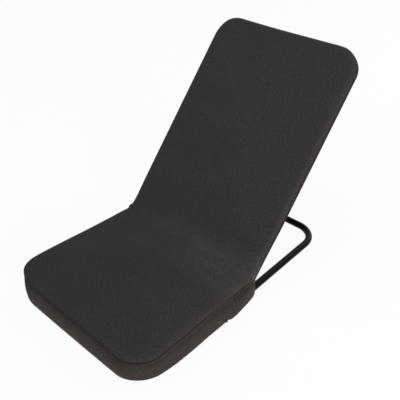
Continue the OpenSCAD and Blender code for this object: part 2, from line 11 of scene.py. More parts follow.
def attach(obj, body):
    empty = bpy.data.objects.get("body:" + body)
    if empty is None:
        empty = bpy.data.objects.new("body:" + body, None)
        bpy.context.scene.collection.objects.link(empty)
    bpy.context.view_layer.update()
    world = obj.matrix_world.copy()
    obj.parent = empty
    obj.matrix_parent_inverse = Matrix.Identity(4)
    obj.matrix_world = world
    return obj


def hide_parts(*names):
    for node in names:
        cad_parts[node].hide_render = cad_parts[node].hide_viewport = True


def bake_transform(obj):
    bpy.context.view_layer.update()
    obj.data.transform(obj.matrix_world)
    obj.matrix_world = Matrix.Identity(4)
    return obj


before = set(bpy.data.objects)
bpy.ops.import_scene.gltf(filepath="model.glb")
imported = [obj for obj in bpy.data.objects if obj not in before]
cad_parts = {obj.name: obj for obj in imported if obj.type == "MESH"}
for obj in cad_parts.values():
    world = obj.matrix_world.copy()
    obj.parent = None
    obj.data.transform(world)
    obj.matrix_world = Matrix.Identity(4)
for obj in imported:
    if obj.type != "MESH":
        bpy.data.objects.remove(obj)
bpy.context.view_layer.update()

mm = 0.001
print("frame loaded:", len(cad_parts), "nodes")

# Camera: a pinhole that was fitted to the outline of the photograph

camera = {
    "place": (0.810, -0.851, 1.007),
    "yaw": 42.19,
    "pitch": 35.0,
    "focalPixels": 562.0,
    "framePixels": 400.0,
    "sensor": 36.0,
    "clip": (0.05, 50),
}


def addObject(name, data):
    made = bpy.data.objects.new(name, data)
    bpy.context.scene.collection.objects.link(made)
    return made


def makeCamera(v):
    data = bpy.data.cameras.new("viewCamera")
    eye = addObject("viewCamera", data)
    eye.location = v["place"]
    eye.rotation_euler = (math.radians(90 - v["pitch"]), 0, math.radians(v["yaw"]))
    data.sensor_width = v["sensor"]
    data.lens = v["focalPixels"] * v["sensor"] / v["framePixels"]
    data.clip_start, data.clip_end = v["clip"]
    bpy.context.scene.camera = eye


makeCamera(camera)
print("camera placed")

# Sizes of the chair that the soft pieces follow, as in the CAD source

chair = {
    "halfWidth": 0.225,
    "seatLength": 0.387,
    "seatHeight": 0.066,
    "backLength": 0.609,
    "backThickness": 0.024,
    "recline": 41.0,
    "midY": 0.0100312,  # the crease lies this far in front of the origin
    "seatCornerR": 0.072,
    "backCornerR": 0.065,
    "creaseCornerR": 0.004,
    "leastCornerR": 0.0012,
    "rearWall": 0.005,
    "pivotDepth": 0.0022,
    "closedAngle": 8.0,
    "mitreGap": 0.0002,
}

halfWidth, seatLength, backLength = chair["halfWidth"], chair["seatLength"], chair["backLength"]
seatCornerR, backCornerR, creaseCornerR = chair["seatCornerR"], chair["backCornerR"], chair["creaseCornerR"]
seatTop, midY, rearWall = chair["seatHeight"], chair["midY"], chair["rearWall"]
edgeR = chair["backThickness"] / 2
backAngle = math.radians(90 - chair["recline"])
leanCos, leanSin = math.cos(backAngle), math.sin(backAngle)
mitre = backAngle / 2
pivotY = chair["pivotDepth"] * math.sin(mitre)
pivotDrop = chair["pivotDepth"] * math.cos(mitre)
pivot = np.array([0.0, pivotY - midY, seatTop - pivotDrop])


def smooth(a, b, x):
    t = np.clip((np.asarray(x, float) - a) / (b - a), 0, 1)
    return t * t * (3 - 2 * t)


def mixed(a, b, t):
    return a + (b - a) * t


def bump(x, middle, width):
    return np.exp(-(((x - middle) / width) ** 2))


def ridge(x, form):
    # form: its height, middle and width
    return form[0] * bump(x, *form[1:])


def waves(points, length, seed, count=7):
    # sum of plane waves with set directions: a smooth uneven field from about -1 to 1
    rng = np.random.default_rng(seed)
    points = np.asarray(points, float)
    total = np.zeros(len(points))
    for _ in range(count):
        way = rng.normal(size=points.shape[1])
        way /= np.linalg.norm(way)
        total += np.sin(points @ way * 2 * math.pi / (length * rng.uniform(0.7, 1.5)) + rng.uniform(0, 6.3))
    return total / math.sqrt(count) / 1.3


def softCurve(x, points):
    # a smooth line through set points
    px, py = np.array(points).T
    x = np.clip(x, px[0], px[-1])
    slope = np.gradient(py, px)
    k = np.clip(np.searchsorted(px, x) - 1, 0, len(px) - 2)
    w = px[k + 1] - px[k]
    t = (x - px[k]) / w
    return ((2 * t**3 - 3 * t**2 + 1) * py[k] + (t**3 - 2 * t**2 + t) * w * slope[k]
            + (3 * t**2 - 2 * t**3) * py[k + 1] + (t**3 - t**2) * w * slope[k + 1])


# Ways from pattern coordinates to the chair's frame


def onSeat(x, y, z):
    return np.stack([x, np.broadcast_to(y, x.shape) - midY, np.broadcast_to(z, x.shape)], 1)


def onBack(x, y, h):
    return np.stack([x, y * leanCos - h * leanSin - midY, seatTop + y * leanSin + h * leanCos], 1)


crease = {"bendMiddle": 0.036, "bendEnds": 0.013, "middleTo": 0.100, "endsFrom": 0.222}


def acrossCrease(x, v, h):
    # v runs back along the seat, through the crease at 0 and up the back; h is the height over the cloth's plane
    ends = smooth(crease["middleTo"], crease["endsFrom"], np.abs(x))
    bend = mixed(crease["bendMiddle"], crease["bendEnds"], ends)
    t = np.clip((v + bend) / (2 * bend), 0, 1)
    before, after = np.minimum(v, -bend), np.maximum(v, bend)
    y = (1 - t) ** 2 * -bend + t**2 * bend * leanCos + (before + bend) + (after - bend) * leanCos
    z = t**2 * bend * leanSin + (after - bend) * leanSin
    ty, tz = (1 - t) + t * leanCos, t * leanSin
    size = np.hypot(ty, tz)
    return np.stack([x, y - h * tz / size - midY, seatTop + z + h * ty / size], 1)


def depthInside(x, y, half, y0, y1, r0, r1):
    # distance from the edge of a rounded rectangle, positive inside
    r = np.where(y < (y0 + y1) / 2, r0, r1)
    qx = np.abs(x) - (half - r)
    qy = np.abs(y - (y0 + y1) / 2) - ((y1 - y0) / 2 - r)
    return -(np.hypot(np.maximum(qx, 0), np.maximum(qy, 0)) + np.minimum(np.maximum(qx, qy), 0) - r)


def smoothMin(a, b, k):
    return np.minimum(a, b) - np.maximum(k - np.abs(a - b), 0) ** 2 / (4 * k)


# Mesh of a padded piece: a grid on top, rings round its edge and a grid beneath


class Outline:
    def __init__(self, lowCorner, highCorner, cross, side):
        self.low, self.high = lowCorner // 2, highCorner // 2
        self.nx = cross + lowCorner
        self.highCross = self.nx - highCorner
        self.lowCross = cross
        self.side = np.asarray(side)  # shares of the straight side, from 0 up to less than 1
        self.ny = self.low + len(self.side) + self.high
        self.count = 2 * (self.nx + self.ny)

    def ring(self, half, y0, y1, r0, r1):
        # four straight sides, each with the corner after it
        low, high = self.low, self.high
        lowX, highX, lowY, highY = half - r0, half - r1, y0 + r0, y1 - r1
        lowShares, highShares = (np.arange(n) / n for n in (self.lowCross, self.highCross))
        down = np.concatenate([[0], 1 - self.side[:0:-1]])
        legs = (((-lowX, y0), (lowX, y0), lowShares, (0, -1), (lowX, lowY, r0, 270, low)),
                ((half, lowY), (half, highY), self.side, (1, 0), (highX, highY, r1, 0, high)),
                ((highX, y1), (-highX, y1), highShares, (0, 1), (-highX, highY, r1, 90, high)),
                ((-half, highY), (-half, lowY), down, (-1, 0), (-lowX, lowY, r0, 180, low)))
        points, normals = [], []
        for p, q, shares, way, (cx, cy, r, start, n) in legs:
            for s in shares:
                points.append((p[0] + (q[0] - p[0]) * s, p[1] + (q[1] - p[1]) * s))
                normals.append(way)
            for i in range(2 * n):
                a = math.radians(start + 45 * i / n)
                points.append((cx + r * math.cos(a), cy + r * math.sin(a)))
                normals.append((math.cos(a), math.sin(a)))
        # the ring begins in the middle of its low left corner
        return np.roll(np.array(points), low, 0), np.roll(np.array(normals), low, 0)

    def gridRing(self):
        # index of each ring point in a grid of (ny + 1) rows of (nx + 1) points
        nx, ny = self.nx, self.ny
        bottom = [(i, 0) for i in range(nx)]
        right = [(nx, j) for j in range(ny)]
        top = [(i, ny) for i in range(nx, 0, -1)]
        left = [(0, j) for j in range(ny, 0, -1)]
        return np.array([j * (nx + 1) + i for i, j in bottom + right + top + left])

    def grid(self, ring):
        # points inside a ring, drawn between its four sides
        nx, ny = self.nx, self.ny
        bottom = ring[: nx + 1]
        right = ring[nx : nx + ny + 1]
        top = ring[nx + ny : 2 * nx + ny + 1][::-1]
        left = np.vstack([ring[2 * nx + ny :], ring[:1]])[::-1]
        s = ((bottom[:, 0] - bottom[0, 0]) / (bottom[-1, 0] - bottom[0, 0]))[None, :, None]
        t = ((right[:, 1] - right[0, 1]) / (right[-1, 1] - right[0, 1]))[:, None, None]
        corners = (1 - s) * (1 - t) * bottom[0] + s * (1 - t) * bottom[-1] + (1 - s) * t * top[0] + s * t * top[-1]
        inside = (1 - t) * bottom[None] + t * top[None] + (1 - s) * left[:, None] + s * right[:, None] - corners
        return inside.reshape(-1, 2)


def sideShares(low, high, spare, fine, coarse, fineTo, coarseFrom):
    # where the rows lie along a straight side: close together near the crease
    shares, at = [], low
    while at < high - spare:
        shares.append((at - low) / (high - low))
        at += mixed(fine, coarse, float(smooth(fineTo, coarseFrom, abs(at))))
    return shares


def buildPad(name, outline, rings, top, bottom, topPattern, bottomPattern, ringPattern, seams=(), wear=None):
    # rings: positions of the rings, the first being the top grid's edge and the last the bottom grid's;
    # the bands between rings that seams names get the second material, the painted seam shade down in a seam
    nx, ny, n = outline.nx, outline.ny, outline.count
    edge = outline.gridRing()
    size = (nx + 1) * (ny + 1)
    middle = len(rings) - 2
    verts = np.vstack([top] + list(rings[1:-1]) + [bottom])
    index = [edge] + [size + k * n + np.arange(n) for k in range(middle)] + [size + middle * n + edge]
    j, i = np.meshgrid(np.arange(ny), np.arange(nx), indexing="ij")
    a = (j * (nx + 1) + i).ravel()
    quads = np.stack([a, a + 1, a + nx + 2, a + nx + 1], 1)
    faces = [quads, quads[:, ::-1] + size + middle * n]
    patterns = [topPattern[quads], bottomPattern[quads[:, ::-1]]]
    around = np.concatenate([np.arange(n), [0]])
    along, across = ringPattern
    along = np.concatenate([along, along[-1:] + (along[1] - along[0])])
    for k in range(len(rings) - 1):
        p, q = index[k][around], index[k + 1][around]
        faces.append(np.stack([p[:-1], q[:-1], q[1:], p[1:]], 1))
        u0, u1, w0, w1 = along[:-1], along[1:], across[k], across[k + 1]
        rows = [np.stack([u, np.broadcast_to(w, u.shape)], 1) for u, w in ((u0, w0), (u0, w1), (u1, w1), (u1, w0))]
        patterns.append(np.stack(rows, 1))
    inSeam = [np.full(len(rows), int(i - 2 in seams), np.int32) for i, rows in enumerate(faces)]
    faces, patterns = np.vstack(faces), np.concatenate(patterns)
    mesh = bpy.data.meshes.new(name)
    mesh.vertices.add(len(verts))
    mesh.vertices.foreach_set("co", verts.astype(np.float32).ravel())
    mesh.loops.add(faces.size)
    mesh.loops.foreach_set("vertex_index", faces.ravel().astype(np.int32))
    mesh.polygons.add(len(faces))
    mesh.polygons.foreach_set("loop_start", np.arange(0, faces.size, 4, dtype=np.int32))
    mesh.polygons.foreach_set("loop_total", np.full(len(faces), 4, np.int32))
    mesh.polygons.foreach_set("use_smooth", np.ones(len(faces), bool))
    mesh.polygons.foreach_set("material_index", np.concatenate(inSeam))
    mesh.update(calc_edges=True)
    mesh.uv_layers.new(name="pattern").data.foreach_set("uv", patterns.astype(np.float32).ravel())
    if wear is not None:
        # painted light and shade: the cloth's colour is scaled by one plus this value
        values = np.concatenate([wear[0]] + list(wear[1][1:-1]) + [np.zeros(len(bottom))])
        mesh.attributes.new("wear", "FLOAT", "POINT").data.foreach_set("value", values.astype(np.float32))
    mesh.validate()
    return addObject(name, mesh)


def perimeter(points):
    step = np.linalg.norm(np.roll(points, -1, 0) - points, axis=1)
    return np.concatenate([[0], np.cumsum(step)[:-1]])


def closePad(name, outline, base, rings, top, bottom, topPattern, bottomPattern, **more):
    # both grids take over the first and the last ring as their edges
    edge = outline.gridRing()
    top[edge], bottom[edge] = rings[0], rings[-1]
    steps = [np.linalg.norm(q - p, axis=1).mean() for p, q in zip(rings, rings[1:])]
    down = -np.concatenate([[0], np.cumsum(steps)])
    return buildPad(name, outline, rings, top, bottom, topPattern, bottomPattern, (perimeter(base), down), **more)


def dress(piece, finish):
    for used in (finish, "seamShade"):
        piece.data.materials.append(finishes[used])


def readPlaces(piece):
    co = np.zeros(len(piece.data.vertices) * 3)
    piece.data.vertices.foreach_get("co", co)
    return co.reshape(-1, 3)


def writePlaces(piece, co):
    piece.data.vertices.foreach_set("co", co.astype(np.float32).ravel())
    piece.data.update()


def keepEvaluated(piece):
    # put the evaluated mesh in place of the modifiers
    graph = bpy.context.evaluated_depsgraph_get()
    done = bpy.data.meshes.new_from_object(piece.evaluated_get(graph), depsgraph=graph)
    piece.modifiers.clear()
    old = piece.data
    piece.data = done
    bpy.data.meshes.remove(old)
    done.name = piece.name


# Node trees


class Wire:
    # an output in a node tree; sums, differences and products of wires become Math nodes
    def __init__(self, tree, socket):
        self.tree, self.socket = tree, socket

    def __add__(self, other):
        return maths("ADD", self, other)

    def __sub__(self, other):
        return maths("SUBTRACT", self, other)

    def __mul__(self, other):
        return maths("MULTIPLY", self, other)

    def __abs__(self):
        return maths("ABSOLUTE", self)


def feed(node, inputs):
    for key, value in dict(inputs).items():
        if isinstance(value, Wire):
            value.tree.links.new(value.socket, node.inputs[key])
        else:
            node.inputs[key].default_value = value


def add(tree, kind, inputs=(), **settings):
    node = tree.nodes.new(kind)
    for key, value in settings.items():
        setattr(node, key, value)
    feed(node, inputs)
    return node


def wire(tree, kind, inputs=(), out=0, **settings):
    return Wire(tree, add(tree, kind, inputs, **settings).outputs[out])


def maths(operation, a, b=0.0, clamp=False):
    return wire(a.tree, "ShaderNodeMath", {0: a, 1: b}, operation=operation, use_clamp=clamp)


def mixColour(share, a, b):
    return wire(share.tree, "ShaderNodeMix", {0: share, 6: a, 7: b}, 2, data_type="RGBA")


def ramp(value, low, high, lowTo=0.0, highTo=1.0):
    return wire(value.tree, "ShaderNodeMapRange", {0: value, 1: low, 2: high, 3: lowTo, 4: highTo}, clamp=True)


def noise(vector, scale, detail=2.0, roughness=0.5):
    values = {0: vector, "Scale": scale, "Detail": detail, "Roughness": roughness}
    return wire(vector.tree, "ShaderNodeTexNoise", values)


def scaled(vector, size):
    return wire(vector.tree, "ShaderNodeMapping", {0: vector, "Scale": size})


def axes(vector):
    return [Wire(vector.tree, out) for out in add(vector.tree, "ShaderNodeSeparateXYZ", {0: vector}).outputs]


def startMaterial(name):
    # the material, its shader and places on the object
    made = bpy.data.materials.new(name)
    made.use_nodes = True
    tree = made.node_tree
    return made, tree.nodes["Principled BSDF"], wire(tree, "ShaderNodeTexCoord", out="Object")


def relief(height, strength, distance):
    return wire(height.tree, "ShaderNodeBump", {"Height": height, "Strength": strength, "Distance": distance})


# Cloth and other finishes

clothValues = {
    "base": (0.0336, 0.0342, 0.0342, 1),
    "slub": (0.047, 0.0463, 0.0465, 1),
    # tint of the painted highlights
    "paintedHighlightTint": (0.0375, 0.0335, 0.0338, 1),
    "lint": (0.17, 0.16, 0.16, 1),
    "yarnPitch": 0.00062,
    "ribPitch": 0.0066,
    "mottle": 0.37,
    "roughness": 0.92,
    "sheen": 0.13,
    "sheenTint": (1.0, 0.74, 0.79, 1),
    "specular": 0.04,
}
# the boxing cloth is a little warmer in tone: in part the cloth's own tone, in part painted warm light from the
# right
boxingValues = {
    **clothValues,
    "base": (0.0335, 0.0314, 0.0310, 1),
    "slub": (0.048, 0.0455, 0.0455, 1),
    "ribPitch": 0.0052,
}
# painted seam shade: a darker copy of the cloth for the faces down in the seams
seamValues = {
    **clothValues,
    "base": (0.0185, 0.0178, 0.0178, 1),
    "slub": (0.024, 0.023, 0.023, 1),
    "paintedHighlightTint": (0.0185, 0.0178, 0.0178, 1),
    "sheen": 0.03,
}


def clothMaterial(name, v, ribs=1.0, wearAndPaintedHighlight=0.0):
    made, shader, place = startMaterial(name)
    tree = made.node_tree
    uv = wire(tree, "ShaderNodeUVMap", uv_map="pattern")
    u, w, _ = axes(uv)
    # plain weave: warp and weft take turns on top
    warp, weft = (maths("SINE", along * (math.pi / v["yarnPitch"])) for along in (u, w))
    over = warp * weft
    weave = maths("MAXIMUM", abs(warp) * maths("GREATER_THAN", over), abs(weft) * maths("LESS_THAN", over))
    # uneven yarns: thin streaks both ways, a coarser mottle and soft blotches
    streaks = [noise(scaled(uv, size), 1.0, 2.0, 0.55) for size in ((90, 1400, 1), (1400, 110, 1))]
    slub = maths("MAXIMUM", ramp(streaks[0], 0.5, 0.78), ramp(streaks[1], 0.52, 0.8))
    grain, mottle = noise(uv, 700.0, 3.0, 0.6), noise(scaled(uv, (190, 420, 1)), 1.0, 3.0, 0.6)
    blotch, fade = noise(place, 16.0, 3.0, 0.55), noise(place, 4.5, 2.0, 0.55)
    # faint ribs across the cloth
    rib = maths("SINE", (w + (blotch - 0.5) * 0.005) * (2 * math.pi / v["ribPitch"]))
    ribHeight = ramp(rib, -0.4, 1.0) * ramp(fade, 0.40, 0.60, 0.2, 1.0)
    shade = ramp(mottle, 0.3, 0.7, 1 - v["mottle"], 1 + v["mottle"])
    shade = shade * ramp(grain, 0.3, 0.7, 0.90, 1.10) * ramp(blotch, 0.35, 0.68, 0.97, 1.035)
    shade = shade * ramp(ribHeight, 0.0, 1.0, 1.0 - 0.03 * ribs, 1.0 + 0.06 * ribs)
    shade = shade * ramp(weave, 0.0, 0.55, 0.66, 1.06)
    if wearAndPaintedHighlight:
        # paler along the crease, more to the right: a painted highlight where the cloth turns to the light, in
        # part rubbed wear
        x, y, z = axes(place)
        across = abs(y + (midY + 0.022)) + abs(z - (seatTop + 0.006))
        creaseHighlight = ramp(across, 0.105, 0.02) * ramp(x, -0.12, 0.10, 0.25, 1.0) * ramp(blotch, 0.3, 0.6, 0.6, 1.0)
        shade = shade * (creaseHighlight * wearAndPaintedHighlight + 1.0)
    # painted light and shade from the piece's attribute scale the colour
    wear = wire(tree, "ShaderNodeAttribute", out="Fac", attribute_name="wear")
    shade = shade * (wear + 1.0)
    colour = mixColour(slub * 0.55, v["base"], v["slub"])
    # painted highlights take a warmer tint, as of warm light from the right
    colour = mixColour(ramp(wear, 0.0, 0.12), colour, v["paintedHighlightTint"])
    colour = wire(tree, "ShaderNodeVectorMath", {0: colour, "Scale": shade}, operation="SCALE")
    # a few specks of lint
    lint = wire(tree, "ShaderNodeTexVoronoi", {0: uv, "Scale": 55.0, "Randomness": 1.0}, "Distance")
    speck = maths("LESS_THAN", lint, 0.022) * ramp(blotch, 0.45, 0.6)
    feed(shader, {
        "Base Color": mixColour(speck * 0.5, colour, v["lint"]),
        "Normal": relief(weave * 0.55 + slub * 0.5 + grain * 0.6 + ribHeight * (0.3 * ribs), 0.6, 0.00025),
        "Roughness": ramp(slub, 0.0, 1.0, v["roughness"], v["roughness"] - 0.1),
        "Sheen Weight": v["sheen"],
        "Sheen Roughness": 0.35,
        "Sheen Tint": v["sheenTint"],
        "Specular IOR Level": v["specular"],
    })
    return made


coatValues = {
    "base": (0.0035, 0.0035, 0.0037, 1),
    "scuff": (0.05, 0.05, 0.05, 1),
    "roughness": 0.12,
    "specular": 0.062,
}


def coatMaterial(name, v):
    # powder coat with a few scuffs, more of them close to the floor
    made, shader, place = startMaterial(name)
    peel, patch = noise(place, 900.0), noise(place, 35.0, 4.0, 0.6)
    streak = noise(scaled(place, (40, 600, 600)), 1.0, 3.0)
    rub = ramp(axes(place)[2], 0.002, 0.006, 1.0, 0.0) * ramp(streak, 0.52, 0.66)
    spots = ramp(patch, 0.66, 0.74) * ramp(streak, 0.5, 0.6)
    wearAndPaintedHighlight = maths("MAXIMUM", rub * 0.7, spots * 0.35, clamp=True)
    feed(shader, {
        "Base Color": mixColour(wearAndPaintedHighlight, v["base"], v["scuff"]),
        "Roughness": ramp(patch, 0.3, 0.7, v["roughness"] - 0.05, v["roughness"] + 0.09) + wearAndPaintedHighlight * 0.2,
        "Normal": relief(peel, 0.25, 0.00006),
        "Specular IOR Level": v["specular"],
    })
    return made


# scale, detail and roughness of the coarse and the fine noise, the patches' tint and the change of roughness
metal = {"coarse": (260.0, 5.0, 0.65), "fine": (2400.0,), "tint": 0.62, "patch": (0.45, 0.75), "span": (0.3, 0.75),
         "smoother": 0.06, "rougher": 0.12, "relief": 0.2, "metallic": 1.0}
plastic = {"coarse": (120.0,), "fine": (1500.0, 3.0), "tint": 1.25, "patch": (0.35, 0.7), "span": (0.3, 0.7),
           "smoother": 0.05, "rougher": 0.06, "relief": 0.15, "metallic": 0.0}


def plainMaterial(name, v, colour, roughness):
    made, shader, place = startMaterial(name)
    coarse, fine = noise(place, *v["coarse"]), noise(place, *v["fine"])
    tinted = tuple(min(1.0, c * v["tint"]) for c in colour)
    feed(shader, {
        "Base Color": mixColour(ramp(coarse, *v["patch"], 0.0, 0.6), (*colour, 1), (*tinted, 1)),
        "Roughness": ramp(coarse, *v["span"], roughness - v["smoother"], roughness + v["rougher"]),
        "Normal": relief(fine, v["relief"], 0.00004),
        "Metallic": v["metallic"],
    })
    return made


finishes = {
    "panelCloth": clothMaterial("panelCloth", clothValues, wearAndPaintedHighlight=0.46),
    "boxingCloth": clothMaterial("boxingCloth", boxingValues, ribs=0.5),
    "seamShade": clothMaterial("seamShade", seamValues, ribs=0.0),
    "frameCoat": coatMaterial("frameCoat", coatValues),
}
for name, kind, colour, roughness in (
        ("zincSteel", metal, (0.56, 0.56, 0.57), 0.34), ("zipMetal", metal, (0.16, 0.16, 0.17), 0.3),
        ("naturalNylon", plastic, (0.62, 0.6, 0.55), 0.4), ("zipPlastic", plastic, (0.02, 0.02, 0.021), 0.35),
        ("threadBlack", plastic, (0.028, 0.027, 0.027), 0.6)):
    finishes[name] = plainMaterial(name, kind, colour, roughness)
print("finishes made:", len(finishes))

# Face cushion: a pillow lip over the seam on the seat, a roll over the tube on the back

edge = {
    "lipDrop": 0.0056,
    "lipDropFront": 0.0086,
    "setBackFront": 0.0062,
    "draw": 0.0034,
    "drawFront": 0.0108,
    "lipWidth": 0.0150,
    "lipWidthLeft": 0.0085,
    "lipWidthFront": 0.0088,
    "roundShare": 0.64,
    "roundShareFront": 0.84,
    "rollWidth": 0.0165,
    "rollSeam": 0.0126,
    "rollDraw": 0.0012,
    "seatCrown": 0.0030,
    "backCrown": 0.0022,
    "reachIn": 0.024,
    "rowsIn": (0.024, 0.016, 0.0125),  # rows of the panel that lie inside its border
    "rowsInSeat": (0.006, 0.0075, 0.006),  # and how much further in on the seat
    "curl": (22, 45, 66, 84),  # degrees round the underside of the lip
    "under": (0.0112, 0.0128),  # depth of the hidden underside, on the seat and on the back
    "ease": 0.0006,
    "fillReach": 0.105,
    # painted light and shade: how much paler or darker the cloth is painted, as a share of its colour
    "lipShade": 0.30,
    "seamShadeLighter": 0.25,
    "rollShade": 0.50,
    "seatBorderHighlight": (0.10, 0.010, 0.011),
    "backBorderHighlight": (0.12, 0.004, 0.010),
    "borderFrom": (0.06, 0.17),
    "frontShade": 0.065,
    "frontShadeFrom": (-0.17, -0.33),
}

panelEdge = (halfWidth, -seatLength, backLength, seatCornerR, backCornerR)


def backShare(v):
    return smooth(-0.004, 0.05, v)


def frontShare(x, v):
    return smooth(-0.338, -0.372, v) * (1 - 0.65 * smooth(0.09, 0.19, x)) * smooth(-0.222, -0.165, x)


def seamDepth(x, v):
    seat = mixed(edge["lipDrop"], edge["lipDropFront"], frontShare(x, v))
    return mixed(seat, edge["rollSeam"], backShare(v))


def seamDraw(x, v):
    seat = mixed(edge["draw"], edge["drawFront"], frontShare(x, v))
    uneven = 1 + 0.25 * waves(np.stack([x, v], 1), 0.03, 11)
    return mixed(seat, edge["rollDraw"], backShare(v)) * uneven


def panelPaintedShading(x, v):
    # painted highlight along the right border, on the seat and on the back's rolled edge, where light falls
    # from the right, and painted shade darker to the front
    inside = depthInside(x, v, *panelEdge)
    border = mixed(ridge(inside, edge["seatBorderHighlight"]), ridge(inside, edge["backBorderHighlight"]), backShare(v))
    return smooth(*edge["borderFrom"], x) * border - edge["frontShade"] * smooth(*edge["frontShadeFrom"], v)


def creaseRise(r):
    # how high the panel may stand at a distance from the crease, so that the pads don't meet when folded
    half = math.radians(chair["closedAngle"] / 2)
    return (r + pivotY) * math.tan(half) - pivotDrop / math.cos(half) - 0.15 * mm


def panelHeight(x, v):
    inside = depthInside(x, v, *panelEdge)
    fill = 1 - (1 - np.clip(inside / edge["fillReach"], 0, 1)) ** 3
    crown = mixed(edge["seatCrown"], edge["backCrown"], smooth(-0.02, 0.02, v))
    high = smoothMin(crown * fill, creaseRise(np.abs(v)), crown * 0.35)
    # uneven filling, and finer gathers near the border
    field = np.stack([x, v], 1)
    soft = 0.35 * mm * waves(field, 0.11, 3) + 0.16 * mm * waves(field, 0.035, 4)
    near = 0.18 * mm * (1 - smooth(0.0, 0.05, inside)) * waves(field, 0.02, 5)
    return high + soft * smooth(0.002, 0.03, inside) + near * smooth(0.001, 0.008, inside)


def edgeProfile(bx, bv, b, front):
    # rows of offsets outwards and heights, from the panel inwards of its border down to the hidden underside
    seam, draw = seamDepth(bx, bv)[:, None], seamDraw(bx, bv)[:, None]
    rowsIn = np.array([edge["rowsIn"]])
    turn = np.linspace(0, math.pi / 2, 8)[None]
    curl = np.radians([edge["curl"]])
    setBack = edge["setBackFront"] * front
    roundOff = mixed(edge["roundShare"], edge["roundShareFront"], front) * seam
    lip = mixed(edge["lipWidthLeft"], edge["lipWidth"], smooth(-0.06, 0.06, bx))[:, None]
    lip = mixed(lip, edge["lipWidthFront"], front)
    flat = np.zeros((len(bx), 3))
    seatOut = np.hstack([flat - rowsIn - np.array([edge["rowsInSeat"]]), -setBack - lip * (1 - np.sin(turn)),
                         -setBack - (draw - setBack) * (1 - np.cos(curl))])
    seatUp = np.hstack([flat, -(1 - np.cos(turn)) * roundOff, -roundOff - (seam - roundOff) * np.sin(curl)])
    rolled = np.linspace(0, math.acos(1 - (edge["rollSeam"] - 0.0007) / edgeR), turn.size + curl.size)[None]
    wide = np.where(rolled < math.pi / 2, edge["rollWidth"], edgeR)
    backOut = np.hstack([flat - rowsIn * edge["rollWidth"] / edge["rowsIn"][2] * 1.10,
                         -wide * (1 - np.sin(rolled)) + flat[:, :1]])
    backUp = np.hstack([flat, -edgeR * (1 - np.cos(rolled)) + flat[:, :1]])
    under = np.broadcast_to(mixed(*edge["under"], b), seam.shape)
    tail = ((-draw - edge["ease"], -seam - edge["ease"] / 2),
            (-draw - 5 * edge["ease"], -np.maximum(seam + 0.0008, 0.4 * seam + 0.6 * under)),
            (np.full_like(draw, -edge["reachIn"] / 2), -under),
            (np.full_like(draw, -edge["reachIn"]), -under))
    out = np.hstack([mixed(seatOut, backOut, b)] + [row[0] for row in tail])
    up = np.hstack([mixed(seatUp, backUp, b)] + [row[1] for row in tail])
    return out, up, seam, out.shape[1] - len(tail) - 1


def buildFaceCushion():
    shares = sideShares(-seatLength + seatCornerR, backLength - backCornerR, 0.002, 0.0022, 0.0052, 0.012, 0.05)
    outline = Outline(18, 18, 78, shares)
    base, normals = outline.ring(*panelEdge)
    bx, bv = base[:, 0], base[:, 1]
    back, front = backShare(bv), frontShare(bx, bv)
    out, up, seam, last = edgeProfile(bx, bv, back[:, None], front[:, None])
    rings, ringPaintedShading = [], []
    for k in range(out.shape[1]):
        x, v = (base + normals * out[:, [k]]).T
        # painted shade on the front lip's face as it turns down, the painted seam shade made lighter at the front,
        # and painted shade on the rear half of the back's rolled edge
        shaded = -edge["lipShade"] * smooth(0.15, 0.6, -up[:, k] / seam[:, 0]) if k < last else edge["seamShadeLighter"]
        rolled = edge["rollShade"] * back * smooth(0.0050, 0.0084, -up[:, k])
        ringPaintedShading.append(panelPaintedShading(x, v) + front * shaded - rolled)
        lift = panelHeight(x, v) * smooth(-0.0125, -0.003, up[:, k]) if k <= last else 0
        rings.append(acrossCrease(x, v, up[:, k] + lift))
    top, bottom = (outline.grid(base + normals * out[:, [k]]) for k in (0, -1))
    topPlaces = acrossCrease(*top.T, panelHeight(*top.T))
    bottomPlaces = acrossCrease(*bottom.T, -mixed(*edge["under"], backShare(bottom[:, 1])))
    steps = np.hypot(np.diff(out, axis=1), np.diff(up, axis=1)).mean(0)
    down = -np.concatenate([[0], np.cumsum(steps)])
    return buildPad("faceCushion", outline, rings, topPlaces, bottomPlaces, top, bottom, (perimeter(base), down),
                    seams=(last - 1, last, last + 1), wear=(panelPaintedShading(*top.T), ringPaintedShading))


# Cloth simulation: slabs a little smaller than the filled seat and back swell under pressure, held where the tube,
# the floor and the crease hold them; the fine pieces take over how far the cloth moved

swell = {
    "voxel": 0.006,
    "inset": 0.0045,
    "seatFloor": 0.006,
    "backRear": -0.020,
    "creaseGap": 0.008,
    "pressure": 4.0,
    "frames": 20,
    "quality": 5,
    "mass": 0.15,
    "airDamping": 1.5,
    "stretch": 14,
    "shear": 6,
    "bending": 0.35,
    "spareCloth": 0.006,
    "cap": 0.0044,
    "near": 0.008,
    "far": 0.018,
    "wallShare": 0.35,
}


def padSlab(name, y0, y1, r0, r1, low, high):
    outline = Outline(8, 8, 36, np.arange(36) / 36)
    rings = []
    for d, h in ((0.010, high), (0.003, high - 0.002), (0.0, high - 0.006),
                 (0.0, low + 0.006), (0.003, low + 0.002), (0.010, low)):
        d += swell["inset"]
        flat, _ = outline.ring(halfWidth - d, y0 + d, y1 - d, max(r0 - d, 0.004), max(r1 - d, 0.004))
        rings.append(np.column_stack([flat, np.full(len(flat), h)]))
    grid = outline.grid(rings[0][:, :2])
    top, bottom = (np.column_stack([grid, np.full(len(grid), h)]) for h in (high, low))
    return buildPad(name, outline, rings, top, bottom, grid, grid, (perimeter(flat), np.arange(6) * 0.01))


